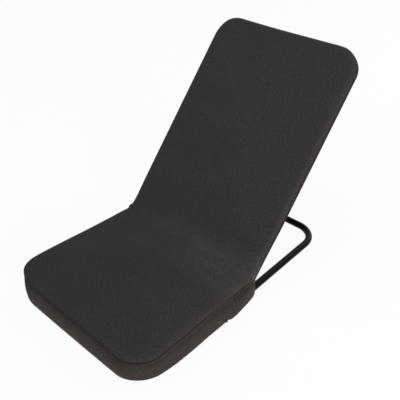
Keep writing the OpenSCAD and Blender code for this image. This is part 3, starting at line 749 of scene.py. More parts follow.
def simulateSlab(slab, held):
    # returns the slab's places before, how far each moved, and its faces
    voxels = slab.modifiers.new("voxels", "REMESH")
    voxels.mode, voxels.voxel_size = "VOXEL", swell["voxel"]
    keepEvaluated(slab)
    start = readPlaces(slab)
    group = slab.vertex_groups.new(name="held")
    weights = np.round(held(*start.T), 1)
    for level in np.unique(weights):
        group.add(np.flatnonzero(weights == level).tolist(), float(level), "REPLACE")
    cloth = slab.modifiers.new("swell", "CLOTH")
    v = cloth.settings
    v.quality, v.mass, v.air_damping = swell["quality"], swell["mass"], swell["airDamping"]
    v.tension_stiffness = v.compression_stiffness = swell["stretch"]
    v.shear_stiffness, v.bending_stiffness = swell["shear"], swell["bending"]
    v.use_pressure, v.uniform_pressure_force = True, swell["pressure"]
    v.shrink_min = -swell["spareCloth"]
    v.vertex_group_mass = group.name
    v.effector_weights.gravity = 0
    cloth.collision_settings.use_collision = False
    cloth.point_cache.frame_start, cloth.point_cache.frame_end = 1, swell["frames"]
    scene = bpy.context.scene
    for step in range(1, swell["frames"] + 1):
        scene.frame_set(step)
    keepEvaluated(slab)
    scene.frame_set(1)
    moved = readPlaces(slab) - start
    # smoothed over the neighbours, twice
    edges = np.zeros(len(slab.data.edges) * 2, np.int32)
    slab.data.edges.foreach_get("vertices", edges)
    a, b = edges.reshape(-1, 2).T
    count = np.bincount(np.concatenate([a, b]), minlength=len(start))[:, None] + 1.0
    for _ in range(2):
        total = moved.copy()
        np.add.at(total, a, moved[b])
        np.add.at(total, b, moved[a])
        moved = total / count
    # capped: the whole swelling is scaled so that no point moves further than the cap
    most = float(np.linalg.norm(moved, axis=1).max())
    share = min(1.0, swell["cap"] / most)
    print(slab.name, len(start), "points, moved up to", round(most / mm, 1), "mm, kept", round(share, 2), "of it")
    faces = [tuple(p.vertices) for p in slab.data.polygons]
    bpy.data.objects.remove(slab)
    return start, moved * share, faces


def heldSeat(x, y, z):
    inside = depthInside(x, y, halfWidth, -seatLength, 0.0, seatCornerR, creaseCornerR)
    rail = smooth(0.024, 0.018, z)
    seam = 0.5 * smooth(0.014, 0.008, inside) * smooth(seatTop - 0.016, seatTop - 0.008, z)
    return np.clip(np.maximum(rail, seam) + smooth(-0.060, -0.030, y), 0, 1)


def heldBack(x, y, h):
    inside = depthInside(x, y, halfWidth, 0.0, backLength, creaseCornerR, backCornerR)
    return np.clip(smooth(0.026, 0.018, inside) + smooth(-0.010, -0.014, h) + smooth(0.060, 0.030, y), 0, 1)


def simulatePads():
    gap, inset = swell["creaseGap"], swell["inset"]
    seat = padSlab("seatSlab", -seatLength, -gap, seatCornerR, creaseCornerR, swell["seatFloor"], seatTop - inset)
    back = padSlab("backSlab", gap, backLength, creaseCornerR, backCornerR, swell["backRear"], -inset)
    return simulateSlab(seat, heldSeat), simulateSlab(back, heldBack)


def takeSwell(piece):
    # each point moves as the nearest place on its slab did, less on the walls and not at the crease
    if swelled is None:
        return
    co = readPlaces(piece)
    x, y, z = co[:, 0], co[:, 1] + midY, co[:, 2] - seatTop
    along, height = y * leanCos + z * leanSin, z * leanCos - y * leanSin
    onSlab = (np.column_stack([x, y, co[:, 2]]), np.column_stack([x, along, height]))
    share = (smooth(-0.030, -0.080, y) * (z < 0.03),
             smooth(0.030, 0.080, along) * (z > 0) * smooth(-0.014, -0.009, height))
    for (start, moved, faces), places, weight, onSlope in zip(swelled, onSlab, share, (False, True)):
        tree = BVHTree.FromPolygons([Vector(p) for p in start], faces)
        for i in np.flatnonzero(weight > 0.001):
            at, normal, index, far = tree.find_nearest(Vector(places[i]))
            corners = list(faces[index])
            parts = np.array([1.0 / (1e-5 + (Vector(start[k]) - at).length) for k in corners])
            step = parts @ moved[corners] / parts.sum()
            if onSlope:
                step = np.array([step[0], step[1] * leanCos - step[2] * leanSin,
                                 step[1] * leanSin + step[2] * leanCos])
            near = float(smooth(swell["far"], swell["near"], far))
            co[i] += step * (weight[i] * near * mixed(swell["wallShare"], 1.0, abs(normal[2])))
    writePlaces(piece, co)


swelled = simulatePads()

eyes = {"reach": 0.0094, "riseFrom": 0.100, "riseTo": 0.208, "fallFrom": 0.2175, "fallTo": 0.2292, "softness": 2.4}


def pushFromEyes(piece):
    # the cloth rides over the hinge eyes that lie under it at both ends of the crease
    co = readPlaces(piece)
    x = np.abs(co[:, 0])
    out = np.clip((x - eyes["fallFrom"]) / (eyes["fallTo"] - eyes["fallFrom"]), 0, 1)
    reach = eyes["reach"] * smooth(eyes["riseFrom"], eyes["riseTo"], x) * np.sqrt(1 - out**2)
    away = co[:, 1:] - pivot[1:]
    r = np.hypot(away[:, 0], away[:, 1]) + 1e-9
    soft = eyes["softness"]
    target = (r**soft + reach**soft) ** (1 / soft)
    co[:, 1:] = pivot[1:] + away * (target / r)[:, None]
    writePlaces(piece, co)


faceCushion = buildFaceCushion()
takeSwell(faceCushion)
pushFromEyes(faceCushion)
dress(faceCushion, "panelCloth")
print("face cushion:", len(faceCushion.data.polygons), "faces")

# How the filled pads depart from their pattern: the seat flares at its left front and its front bows,
# and the top corners of the back differ

lay = {
    "flare": 0.0076,
    "flareRise": 0.0068,
    "flareFrom": -0.055,
    "flareTo": -0.330,
    "bow": 0.0008,
    "bowHalf": 0.185,
    "pinch": 0.0018,
    "backWiden": 0.0022,
    "leftCorner": 0.0042,
    "leftRise": 0.0024,
    "rightCorner": -0.0046,
}


def layWarp(piece):
    co = readPlaces(piece)
    x, y, z = co[:, 0].copy(), co[:, 1] + midY, co[:, 2].copy()
    left = smooth(-0.06, -0.222, x) * smooth(lay["flareFrom"], lay["flareTo"], y)
    height = np.clip(z / seatTop, 0, 1.1)
    co[:, 0] -= lay["flare"] * left * (0.25 + 0.75 * np.clip(height, 0, 1))
    co[:, 2] += lay["flareRise"] * left * height**2
    co[:, 0] += lay["pinch"] * smooth(0.18, 0.215, -x) * bump(y, -0.012, 0.055) * smooth(0.3, 0.8, height)
    along, above = y * leanCos + (z - seatTop) * leanSin, smooth(0.02, 0.10, z - seatTop)
    co[:, 0] += lay["backWiden"] * above * smooth(0.12, 0.22, x)
    tip = above * smooth(backLength - 0.07, backLength, along)
    rise = tip * lay["leftRise"] * bump(x, -0.165, 0.085)
    for side, push in ((-1, lay["leftCorner"]), (1, lay["rightCorner"])):
        corner = 0.7 * push * tip * bump(x * side, 0.205, 0.032)
        co[:, 0] += side * corner
        rise = rise + corner
    co[:, 1] += rise * leanCos
    co[:, 2] += rise * leanSin
    front = smooth(-0.25, -0.385, y)
    co[:, 1] -= lay["bow"] * front * np.cos(np.clip(np.abs(x) / lay["bowHalf"], 0, 1) * math.pi / 2)
    writePlaces(piece, co)


# Seat base: boxing and bottom panel as one closed pad under the face cushion

boxing = {
    "frontBulge": 0.0046,
    "bottomSeam": 0.0052,
    "bottomLip": 0.0036,
    "lipTurns": (8, 30, 55, 80),
    "topInside": 0.0088,
    "dentAt": -0.1085,  # where the loose cloth behind the foam's cut corner begins
    "dentSlant": 0.085,
    "dentShift": (0.004, -0.012),  # to the rear on the right wall, to the front on the left one
    # height, middle and width of what stands out of the walls or lies in them
    "fold": (0.0024, -0.0045, 0.0030),
    "dent": (-0.0028, 0.0022, 0.0036),
    "seamEdge": (0.0007, 0.955, 0.018),
    "hollow": (-0.0015, 0.84, 0.075),
    "hingeSlack": (-0.0024, 0.84, 0.13),
    "gathers": 0.00062,
    "leftShare": 0.86,
    "cornerShare": 0.8,
    # how far the side walls stand out near the floor, along the seat
    "standOut": ((-0.345, 0.0002), (-0.318, 0.0021), (-0.290, 0.0064), (-0.240, 0.0094), (-0.160, 0.0096),
                 (-0.128, 0.0106), (-0.109, 0.0112), (-0.094, 0.0152), (-0.076, 0.0160), (-0.048, 0.0130),
                 (-0.016, 0.0088), (0.005, 0.0040)),
    # how far the front corners tuck in, from the bottom seam up
    "leftTuck": ((0.0, 0.0050), (0.2, 0.0054), (0.42, 0.0084), (0.62, 0.0078), (0.82, 0.0036), (1.0, 0.0)),
    "rightTuck": ((0.0, 0.0022), (0.5, 0.0010), (1.0, 0.0)),
    # the form of a side wall and of the front one, from the bottom seam up to the top one
    "sideForm": ((0.0, 0.80), (0.05, 0.92), (0.15, 1.0), (0.30, 1.0), (0.50, 0.84), (0.70, 0.52), (0.85, 0.24),
                 (1.0, 0.0)),
    "frontForm": ((0.0, 0.10), (0.05, 0.35), (0.2, 0.82), (0.45, 1.0), (0.7, 0.86), (0.88, 0.45), (1.0, 0.0)),
    # gathers over the hinge: slant, height, place along the seat and width
    "hingeFolds": ((0.020, 0.00135, -0.068, 0.0030), (0.014, 0.0018, -0.057, 0.0028),
                   (-0.006, 0.0012, -0.046, 0.0034), (0.012, 0.00105, -0.031, 0.0040),
                   (0.03, 0.00105, -0.083, 0.0040)),
    # painted light and shade: how much paler or darker the cloth is painted, as a share of its colour, with its
    # middle and width
    "lipShade": (0.02, 0.19),
    "edgeHighlight": (0.13, 0.955, 0.022),
    "seamShadeLine": (-0.42, 0.987, 0.011),
    "frontPaintedLight": (0.15, 0.72, 0.20),
    "frontShade": 0.40,
    "foldHighlight": (0.85, -0.0045, 0.0034),
    "dentShade": (-0.20, 0.0020, 0.0036),
    "hingeSlant": 0.014,
    "hingeShadeLines": ((-0.26, -0.0735, 0.0022), (-0.26, -0.0625, 0.0022), (-0.26, -0.0515, 0.0022),
                   (-0.26, -0.0385, 0.0022)),
    # depths of the flange inside, under the face cushion
    "flange": (0.022, 0.010, 0.0045),
    # heights of the rings on the walls, as shares from the bottom seam to the top one
    "rings": (1.0, 0.988, 0.972, 0.95, 0.92, 0.875, 0.82, 0.75, 0.67, 0.59, 0.5, 0.42, 0.34, 0.26, 0.19, 0.13,
              0.08, 0.04, 0.015, 0.0),
}


def seatRear(z, d):
    return min(rearWall - d, (seatTop - z) * math.tan(mitre) - (d + chair["mitreGap"]) / math.cos(mitre))


def puckers(along, share, seed, pitch=0.017):
    # short uneven gathers that hang from the seam
    rng = np.random.default_rng(seed)
    total = np.zeros(len(along))
    at = 0.0
    while at < along.max():
        at += pitch * rng.uniform(0.45, 1.9)
        length = rng.uniform(0.08, 0.34)
        shape = bump(along + 0.03 * (1 - share) * rng.uniform(-0.3, 0.3), at, rng.uniform(0.0022, 0.0042))
        total += shape * rng.uniform(0.25, 1.0) * smooth(1 - length, 1.0 - 0.1 * length, share)
    return total


def behindDent(x, y, share):
    # distance behind the slanted line where the loose cloth begins
    return y - boxing["dentAt"] - np.where(x > 0, *boxing["dentShift"]) + boxing["dentSlant"] * share


def wallForm(x, y, along, share, normals):
    side, right = np.abs(normals[:, 0]) ** 3, x > 0
    front, rear = (np.maximum(way * normals[:, 1], 0) ** 3 for way in (-1, 1))
    corner = np.clip(1 - side - front - rear, 0, 1)
    v, line = boxing, behindDent(x, y, share)
    stand = softCurve(y, v["standOut"]) * np.where(right, 1.0, v["leftShare"] * smooth(-0.30, -0.19, y))
    bulge = (front + corner * v["cornerShare"]) * v["frontBulge"] * softCurve(share, v["frontForm"])
    out = side * stand * softCurve(share, v["sideForm"]) + bulge
    # the corners tuck in near the floor
    diagonal = np.clip(-2 * np.abs(normals[:, 0]) * normals[:, 1], 0, 1) ** 1.5
    out = out - diagonal * np.where(right, softCurve(share, v["rightTuck"]), softCurve(share, v["leftTuck"]))
    # a slanted fold where the loose cloth begins, with the dent behind it
    out = out + side * smooth(0.62, 0.36, share) * (ridge(line, v["fold"]) + ridge(line, v["dent"]))
    # a standing seam edge, the hollow under the lip, and the wall slack over the hinge
    out = out + ridge(share, v["seamEdge"]) + (1 - frontShare(x, y)) * ridge(share, v["hollow"])
    behind = smooth(0.002, 0.03, line) * smooth(0.004, -0.02, y)
    out = out + side * behind * ridge(share, v["hingeSlack"])
    high = smooth(0.38, 0.85, share) * smooth(1.02, 0.9, share)
    for slant, *form in v["hingeFolds"]:
        out = out + side * ridge(y + slant * (1 - share), form) * high
    return out + v["gathers"] * puckers(along, share, 27) * (side + front + corner)


def wallPaintedShading(x, y, share, normals):
    # painted shade under the lip and a painted dark line at the seam, with a painted highlight along the seam's
    # edge and on the fold, and painted shade in the dent and between the gathers over the hinge
    v, line = boxing, behindDent(x, y, share)
    side, high = np.abs(normals[:, 0]) ** 3 * (x > 0), smooth(0.50, 0.80, share)
    front = frontShare(x, y)
    back = 1 - front
    wear = ridge(share, v["edgeHighlight"]) + back * ridge(share, v["seamShadeLine"]) - mixed(*v["lipShade"], back) * high
    # front wall: a paler painted band in the middle and painted shade just under the seam
    low = ridge(share, v["frontPaintedLight"]) - v["frontShade"] * smooth(0.91, 0.985, share)
    fold = ridge(line, v["foldHighlight"]) * smooth(0.54, 0.38, share) * smooth(0.06, 0.16, share)
    dent = ridge(line, v["dentShade"]) * smooth(0.66, 0.40, share)
    folds = sum(ridge(y + v["hingeSlant"] * (1 - share), form) for form in v["hingeShadeLines"]) * high
    return wear + front * low + side * (fold + dent + folds)


def buildSeatBase():
    shares = sideShares(-seatLength + seatCornerR, 0.001, 0.0015, 0.0024, 0.0048, 0.10, 0.19)
    outline = Outline(18, 8, 78, shares)

    def ring(d, z):
        return outline.ring(halfWidth - d, -seatLength + d, seatRear(z, d), seatCornerR - d,
                            max(creaseCornerR - d, chair["leastCornerR"]))

    base, normals = ring(0, 0.03)
    x, y = base.T
    n = len(base)
    along, front, draw = perimeter(base), frontShare(x, y), seamDraw(x, y)
    rings, ringPaintedShading = [], []

    def put(d, z, out=0.0, wear=0.0):
        ringPaintedShading.append(np.broadcast_to(wear, n))
        (px, py), (nx, ny) = (part.T for part in ring(d, float(np.mean(z))))
        rings.append(onSeat(px + nx * out, np.minimum(py + ny * out, rearWall), z))

    # the flange inside, which keeps clear of the drawn-in seam, and the seam itself
    topZ, seamZ = seatTop - boxing["topInside"], seatTop - seamDepth(x, np.minimum(y, -0.004))
    # at the front the painted seam shade on the seam's bands is made lighter
    lighterSeamShade = 0.25 * front
    behindSeam = -np.maximum(draw - 1.25 * edge["draw"], 0)
    deepest, middle, outer = boxing["flange"]
    put(deepest, topZ)
    put(middle, topZ, behindSeam)
    put(outer, topZ + 0.0006, behindSeam, lighterSeamShade)
    put(0, seamZ - 0.0004, -draw - 0.0005, lighterSeamShade)
    # the walls
    wallTop, wallLow = seamZ - 0.001, boxing["bottomSeam"]
    tuckReach = mixed(0.022, 0.13, front)
    rear = np.maximum(normals[:, 1], 0) ** 2
    for share in boxing["rings"]:
        each = np.full(n, share)
        tuck = draw * np.exp(-(((1 - share) / tuckReach) ** 1.3)) * 0.92
        low = 0.0012 * math.exp(-share / 0.02)
        soft = 0.5 * mm * waves(np.stack([x, y, each * 0.05], 1), 0.07, 21)
        soft = (soft + 0.22 * mm * waves(base + share * 0.02, 0.022, 22)) * (1 - abs(2 * share - 1) ** 4)
        full = rear * 0.0011 * (1 - abs(2 * share - 1) ** 2)
        form = wallForm(x, y, along, each, normals) + (1 - 0.7 * rear) * soft + full - tuck - low
        put(0, wallLow + (wallTop - wallLow) * share, form, wallPaintedShading(x, y, each, normals))
    # bottom seam, the lip of the bottom panel and the flat that stands on the floor
    foot = wallForm(x, y, along, np.zeros(n), normals)
    put(0.0, wallLow - 0.0006, foot - 0.0022)
    for a in np.radians(boxing["lipTurns"]):
        r = boxing["bottomLip"]
        put(0, r - r * math.sin(a), foot - 0.0008 - r * (1 - math.cos(a)))
    put(0.012, 0.0002 + 0.0003 * (1 + waves(base, 0.04, 23)), 0.6 * foot)
    put(deepest, 0.0004 + 0.0004 * (1 + waves(base, 0.06, 24)))
    top, bottom = (outline.grid(ring(deepest, z)[0]) for z in (topZ, 0.0))
    floor = np.maximum(0.0008 + 0.0006 * waves(bottom, 0.08, 25) + 0.0003 * waves(bottom, 0.03, 26), 0.0001)
    return closePad("seatBase", outline, base, rings, onSeat(*top.T, topZ), onSeat(*bottom.T, floor), top, bottom,
                    seams=(2, 3, 4, 23, 24), wear=(np.zeros(len(top)), ringPaintedShading))


seatBase = buildSeatBase()
takeSwell(seatBase)
layWarp(seatBase)
layWarp(faceCushion)
dress(seatBase, "boxingCloth")
print("seat base:", len(seatBase.data.polygons), "faces")

# Back shell: the rear half of the back's edge and its rear panel

zipPlace = {"up": 0.130, "behind": 0.0246, "half": 0.1800}

rearPanel = {
    "frontInside": 0.0112,
    "tubeMark": (0.0011, 0.0125, 0.0085),
    "barMark": 0.0008,
    "slack": 0.0012,
    "flange": (0.022, 0.011, 0.0045),
    "border": 0.0165,
    "rings": (0.0, 0.12, 0.26, 0.42, 0.6, 0.8, 1.0),
}


def backFoot(h, d):
    return h * math.tan(mitre) + (d + chair["mitreGap"]) / math.cos(mitre)


def rearRelief(x, y):
    # the tube and the flat bar show softly through the rear cloth
    inside = depthInside(x, y, halfWidth, -0.01, backLength, creaseCornerR, backCornerR)
    tube = ridge(inside, rearPanel["tubeMark"]) * smooth(-0.02, 0.04, y)
    bar = rearPanel["barMark"] * smooth(0.068, 0.078, y) * smooth(0.111, 0.100, y) * smooth(0.212, 0.19, np.abs(x))
    field = np.stack([x, y], 1)
    slack = smooth(0.02, 0.08, inside) * smooth(0.0, 0.08, y)
    uneven = (0.5 * mm * waves(field, 0.12, 31) - rearPanel["slack"]) * slack
    uneven = uneven + 0.2 * mm * waves(field, 0.04, 32) * smooth(0.01, 0.04, inside)
    # flat where the zip is sewn on
    nearZip = np.maximum(np.abs(y - zipPlace["up"]) - 0.018, (np.abs(x) - 0.200) * 0.6)
    return smooth(-0.002, 0.022, nearZip) * (tube + bar + uneven)


def buildBackShell():
    shares = sideShares(0.0, backLength - backCornerR, 0.002, 0.0024, 0.0050, 0.012, 0.06)
    outline = Outline(8, 18, 88, shares)

    def ring(d, h):
        return outline.ring(halfWidth - d, backFoot(h, d), backLength - d,
                            max(creaseCornerR - d, chair["leastCornerR"]), backCornerR - d)

    base, normals = ring(0, -0.012)
    x, y = base.T
    seam, draw = seamDepth(x, np.maximum(y, 0)), seamDraw(x, y)
    foot = smooth(0.5, 0.9, -normals[:, 1])
    rings = []

    def put(d, h, out=0.0, marked=False):
        h = np.broadcast_to(np.asarray(h, float), len(base))
        middle = float(h.mean())
        p, n = ring(d, middle)
        px, py = (p + n * np.broadcast_to(out, len(p))[:, None]).T
        # the lower end follows the mitre at each point's own depth
        low = backFoot(h, d)
        py = py + smooth(0.03, 0.0, py - low) * (low - backFoot(middle, d))
        rings.append(onBack(px, py, h - rearRelief(px, py) if marked else h))
        return np.stack([px, py], 1)

    inside, rear = -rearPanel["frontInside"], -2 * edgeR
    deepSeam = -np.maximum(seam, 0.0115)
    deepest, middle, outer = rearPanel["flange"]
    put(deepest, inside)
    put(middle, inside)
    put(outer, inside * 0.4 + deepSeam * 0.6)
    put(0, deepSeam - 0.0002, np.where(foot > 0.5, 0.0, -draw - 0.0007))
    # round the tube, from the seam to the rear panel
    start = np.arccos(np.clip(1 + (deepSeam - 0.0006) / edgeR, -1, 1))
    for share in rearPanel["rings"]:
        a = start + (math.pi - start) * share
        tuck = 0.7 * draw * math.exp(-share / 0.05)
        put(0, -edgeR * (1 - np.cos(a)), (-edgeR * (1 - np.sin(a)) - tuck) * (1 - foot))
    put(rearPanel["border"], rear, marked=True)
    bottom = outline.grid(put(deepest, rear, marked=True))
    top = outline.grid(ring(deepest, inside)[0])
    return closePad("backShell", outline, base, rings, onBack(*top.T, inside),
                    onBack(*bottom.T, rear - rearRelief(*bottom.T)), top, bottom, seams=(2, 3))


backShell = buildBackShell()
layWarp(backShell)
dress(backShell, "panelCloth")
print("back shell:", len(backShell.data.polygons), "faces")

# Slots in the back's lower end, where the base plates' horns and stop pins go in and out as it folds

slots = {
    "inner": 0.2062,
    "outer": 0.2196,
    "reach": 0.0226,
    "down": 0.030,
    "inFront": 0.020,
    "above": 0.010,
    "sweep": (100, -20),
    "sides": 18,
}


def cutSlots(piece, v):
    made = bmesh.new()
    pattern = made.loops.layers.uv.new("pattern")
    # the round end follows the horn's sweep; the open end runs out below the back
    ring = []
    for k in range(v["sides"] + 1):
        a = mixed(*np.radians(v["sweep"]), k / v["sides"])
        ring.append((v["reach"] * math.cos(a), v["reach"] * math.sin(a)))
    ring += [(v["down"] * 0.9, -v["down"]), (-v["inFront"], -v["down"]), (-v["inFront"], v["above"])]
    for side in (-1, 1):
        rows = [[made.verts.new((side * x, pivot[1] + y, pivot[2] + z)) for y, z in ring]
                for x in (v["inner"], v["outer"])]
        for i, k in enumerate([*range(1, len(ring)), 0]):
            made.faces.new((rows[0][i], rows[0][k], rows[1][k], rows[1][i]))
        made.faces.new(rows[0][::-1])
        made.faces.new(rows[1])
    bmesh.ops.recalc_face_normals(made, faces=made.faces)
    for face in made.faces:
        for loop in face.loops:
            loop[pattern].uv = (loop.vert.co.y, loop.vert.co.z)
    mesh = bpy.data.meshes.new("slotCutter")
    made.to_mesh(mesh)
    made.free()
    cutter = addObject("slotCutter", mesh)
    cut = piece.modifiers.new("slots", "BOOLEAN")
    cut.operation, cut.solver, cut.object = "DIFFERENCE", "FAST", cutter
    keepEvaluated(piece)
    bpy.data.objects.remove(cutter)


cutSlots(backShell, slots)
print("slots cut:", len(backShell.data.polygons), "faces")

# Places on the zip: x to the side, y up the back, z out of the rear panel

zipOrigin = onBack(np.zeros(1), np.full(1, zipPlace["up"]), -zipPlace["behind"])[0]
zipFrame = Matrix(((-1, 0, 0, 0), (0, leanCos, leanSin, zipOrigin[1]), (0, leanSin, -leanCos, zipOrigin[2]),
                   (0, 0, 0, 1)))


def roundedRow(halfX, halfY, r, steps=6):
    points = []
    for sx, sy, start in ((1, 1, 0), (-1, 1, 90), (-1, -1, 180), (1, -1, 270)):
        for k in range(steps + 1):
            a = math.radians(start + 90 * k / steps)
            points.append((sx * (halfX - r) + r * math.cos(a), sy * (halfY - r) + r * math.sin(a)))
    return np.array(points)


def sweptFrame(name, rows):
    # rows: closed loops of the same count, joined one to the next and back to the first
    n, count = len(rows[0]), len(rows)
    faces = [(j * n + i, j * n + (i + 1) % n, (j + 1) % count * n + (i + 1) % n, (j + 1) % count * n + i)
             for j in range(count) for i in range(n)]
    mesh = bpy.data.meshes.new(name)
    mesh.from_pydata(np.vstack(rows).tolist(), [], faces)
    mesh.shade_smooth()
    return mesh


def patternFrom(mesh, axisU, axisV):
    layer = mesh.uv_layers.new(name="pattern")
    co = np.zeros(len(mesh.vertices) * 3)
    mesh.vertices.foreach_get("co", co)
    index = np.zeros(len(mesh.loops), np.int32)
    mesh.loops.foreach_get("vertex_index", index)
    layer.data.foreach_set("uv", co.reshape(-1, 3)[index][:, [axisU, axisV]].astype(np.float32).ravel())


def makePiece(mesh, name, finish, matrix=None):
    if matrix is not None:
        mesh.transform(matrix)
    # all faces outwards
    made = bmesh.new()
    made.from_mesh(mesh)
    bmesh.ops.recalc_face_normals(made, faces=made.faces)
    made.to_mesh(mesh)
    made.free()
    mesh.materials.clear()
    mesh.materials.append(finishes[finish])
    return addObject(name, mesh)


# Placket: folded cloth sewn round the zip, over the edges of its tape

placket = {
    "innerX": 0.1860,
    "innerY": 0.0054,
    "cornerR": 0.0020,
    "rows": (0.0018, 0.0088),  # where the two rows of stitches run
    "acrossPoints": 94,
    # its section, outwards from the opening and up from the rear panel
    "section": ((0.0000, -0.0006), (-0.0002, 0.0001), (0.0001, 0.0007), (0.0007, 0.00115), (0.0013, 0.00125),
                (0.0018, 0.00105), (0.0024, 0.0013), (0.0050, 0.0014), (0.0082, 0.0013), (0.0088, 0.00105),
                (0.0094, 0.0012), (0.0102, 0.0010), (0.0107, 0.0004), (0.0108, -0.0007), (0.0104, -0.0013),
                (0.0004, -0.0011)),
}


def placketLoop(out):
    return roundedRow(placket["innerX"] + out, placket["innerY"] + out, placket["cornerR"] + out)


def buildPlacket(v):
    rows = []
    for out, height in v["section"]:
        loop = placketLoop(out)
        dense = []
        for p, q in zip(loop, np.roll(loop, -1, 0)):
            n = v["acrossPoints"] if abs(q[0] - p[0]) > 0.1 else 1
            dense += [p + (q - p) * k / n for k in range(n)]
        dense = np.array(dense)
        ease = 0.12 * mm * waves(dense + 5.0, 0.019, 41) + 0.08 * mm * waves(dense + 3.0, 0.007, 42)
        rows.append(np.column_stack([dense, height + ease * (height > 0)]))
    mesh = sweptFrame("zipPlacket", rows)
    patternFrom(mesh, 0, 1)
    return makePiece(mesh, "zipPlacket", "panelCloth", zipFrame)


zipPlacket = buildPlacket(placket)

# Geometry Nodes: rows of stitches, and the teeth of the zip


def startTree(name, rows):
    # a new tree with its inputs, and its own way to add nodes
    tree = bpy.data.node_groups.new(name, "GeometryNodeTree")
    for label, kind, value in rows:
        socket = tree.interface.new_socket(name=label, in_out="INPUT", socket_type="NodeSocket" + kind)
        if value is not None:
            socket.default_value = value
    tree.interface.new_socket(name="Geometry", in_out="OUTPUT", socket_type="NodeSocketGeometry")
    given = {out.name: Wire(tree, out) for out in tree.nodes.new("NodeGroupInput").outputs}
    return tree, given, partial(wire, tree)


def randomBetween(node, least, most, seed):
    return node("FunctionNodeRandomValue", {"Min": least, "Max": most, "Seed": seed}, data_type="FLOAT_VECTOR")


def endTree(tree, solid, finish):
    done = wire(tree, "GeometryNodeSetMaterial", {"Geometry": solid, "Material": finish})
    feed(tree.nodes.new("NodeGroupOutput"), {0: done})
    return tree


def useTree(mesh, tree, values, name):
    # run the tree on a mesh and keep the result as a plain mesh
    carrier = addObject("carrier", mesh)
    live = carrier.modifiers.new(tree.name, "NODES")
    live.node_group = tree
    for item in tree.interface.items_tree:
        if item.in_out == "INPUT" and item.name in values:
            live[item.identifier] = values[item.name]
    graph = bpy.context.evaluated_depsgraph_get()
    done = bpy.data.meshes.new_from_object(carrier.evaluated_get(graph), depsgraph=graph)
    done.name = name
    carrier.modifiers.clear()
    bpy.data.objects.remove(carrier)
    return done


stitch = {
    "pitch": 0.0034,
    "size": (0.0027, 0.0008, 0.0006),
    "skew": 0.09,
    "least": (0.93, 0.9, 0.85),
    "most": (1.05, 1.08, 1.1),
    "seed": 3,
}


def stitchTree(v):
    length, width, height = v["size"]
    tree, given, node = startTree("stitchRow", (
        ("Rows", "Geometry", None), ("Pitch", "Float", v["pitch"]), ("Length", "Float", length),
        ("Width", "Float", width), ("Height", "Float", height), ("Facing", "Vector", (0, 0, 1)),
        ("Seed", "Int", v["seed"]), ("Thread", "Material", None)))
    curve = node("GeometryNodeMeshToCurve", {0: given["Rows"]})
    sizes = {"Curve": curve, "Length": given["Pitch"]}
    spots = add(tree, "GeometryNodeCurveToPoints", sizes, mode="LENGTH").outputs
    along = Wire(tree, spots["Tangent"])
    turn = node("FunctionNodeAlignRotationToVector", {"Vector": along}, axis="X")
    turn = node("FunctionNodeAlignRotationToVector", {"Rotation": turn, "Vector": given["Facing"]}, axis="Z",
                pivot_axis="X")
    # each stitch lies a little askew and differs in size
    skew, vary = (randomBetween(node, least, most, given["Seed"])
                  for least, most in (((0, 0, -v["skew"]), (0, 0, v["skew"])), (v["least"], v["most"])))
    skew = node("FunctionNodeEulerToRotation", {0: skew})
    turn = node("FunctionNodeRotateRotation", {"Rotation": turn, "Rotate By": skew}, rotation_space="LOCAL")
    size = node("ShaderNodeCombineXYZ", {0: given["Length"], 1: given["Width"], 2: given["Height"]})
    size = node("ShaderNodeVectorMath", {0: size, 1: vary}, operation="MULTIPLY")
    bead = node("GeometryNodeMeshUVSphere", {"Segments": 7, "Rings": 5, "Radius": 0.5})
    laid = node("GeometryNodeInstanceOnPoints",
                {"Points": Wire(tree, spots["Points"]), "Instance": bead, "Rotation": turn, "Scale": size})
    solid = node("GeometryNodeRealizeInstances", {0: laid})
    return endTree(tree, node("GeometryNodeSetShadeSmooth", {0: solid}), given["Thread"])


def lineMesh(rows):
    # rows: (points, closed)
    verts, edges = [], []
    for points, closed in rows:
        start = len(verts)
        verts += [tuple(p) for p in points]
        n = len(points)
        edges += [(start + i, start + (i + 1) % n) for i in range(n if closed else n - 1)]
    mesh = bpy.data.meshes.new("rows")
    mesh.from_pydata(verts, edges, [])
    return mesh


stitchRows = stitchTree(stitch)


def sew(rows, facing, name, matrix=None, **sizes):
    values = {"Facing": facing, "Thread": finishes["threadBlack"], **sizes}
    return makePiece(useTree(lineMesh(rows), stitchRows, values, name), name, "threadBlack", matrix)


tacks = {"lines": 9, "step": 0.00055, "start": -0.0006, "half": 0.0046, "height": 0.00125, "stagger": 0.0001}


def sewZip(v):
    rows = []
    for out in placket["rows"]:
        loop = placketLoop(out)
        rows.append((np.column_stack([loop, np.full(len(loop), 0.0013)]), True))
    # bar tacks at both ends of the opening
    for side in (-1, 1):
        for k in range(v["lines"]):
            x, z = side * (placket["innerX"] + v["start"] + v["step"] * k), v["height"] + v["stagger"] * (k % 2)
            rows.append((np.array([(x, -v["half"], z), (x, v["half"], z)]), False))
    return sew(rows, (0, 0, 1), "zipStitches", zipFrame)


zipStitches = sewZip(tacks)
print("zip stitches:", len(zipStitches.data.polygons), "faces")

teeth = {
    "pitch": 0.0030,
    "stem": (0.00125, 0.0026, 0.00115),
    "headR": 0.00088,
    "reach": 0.00035,
    "lift": 0.0007,
    "tilt": 0.02,
    "twist": 0.03,
    "seed": 5,
}


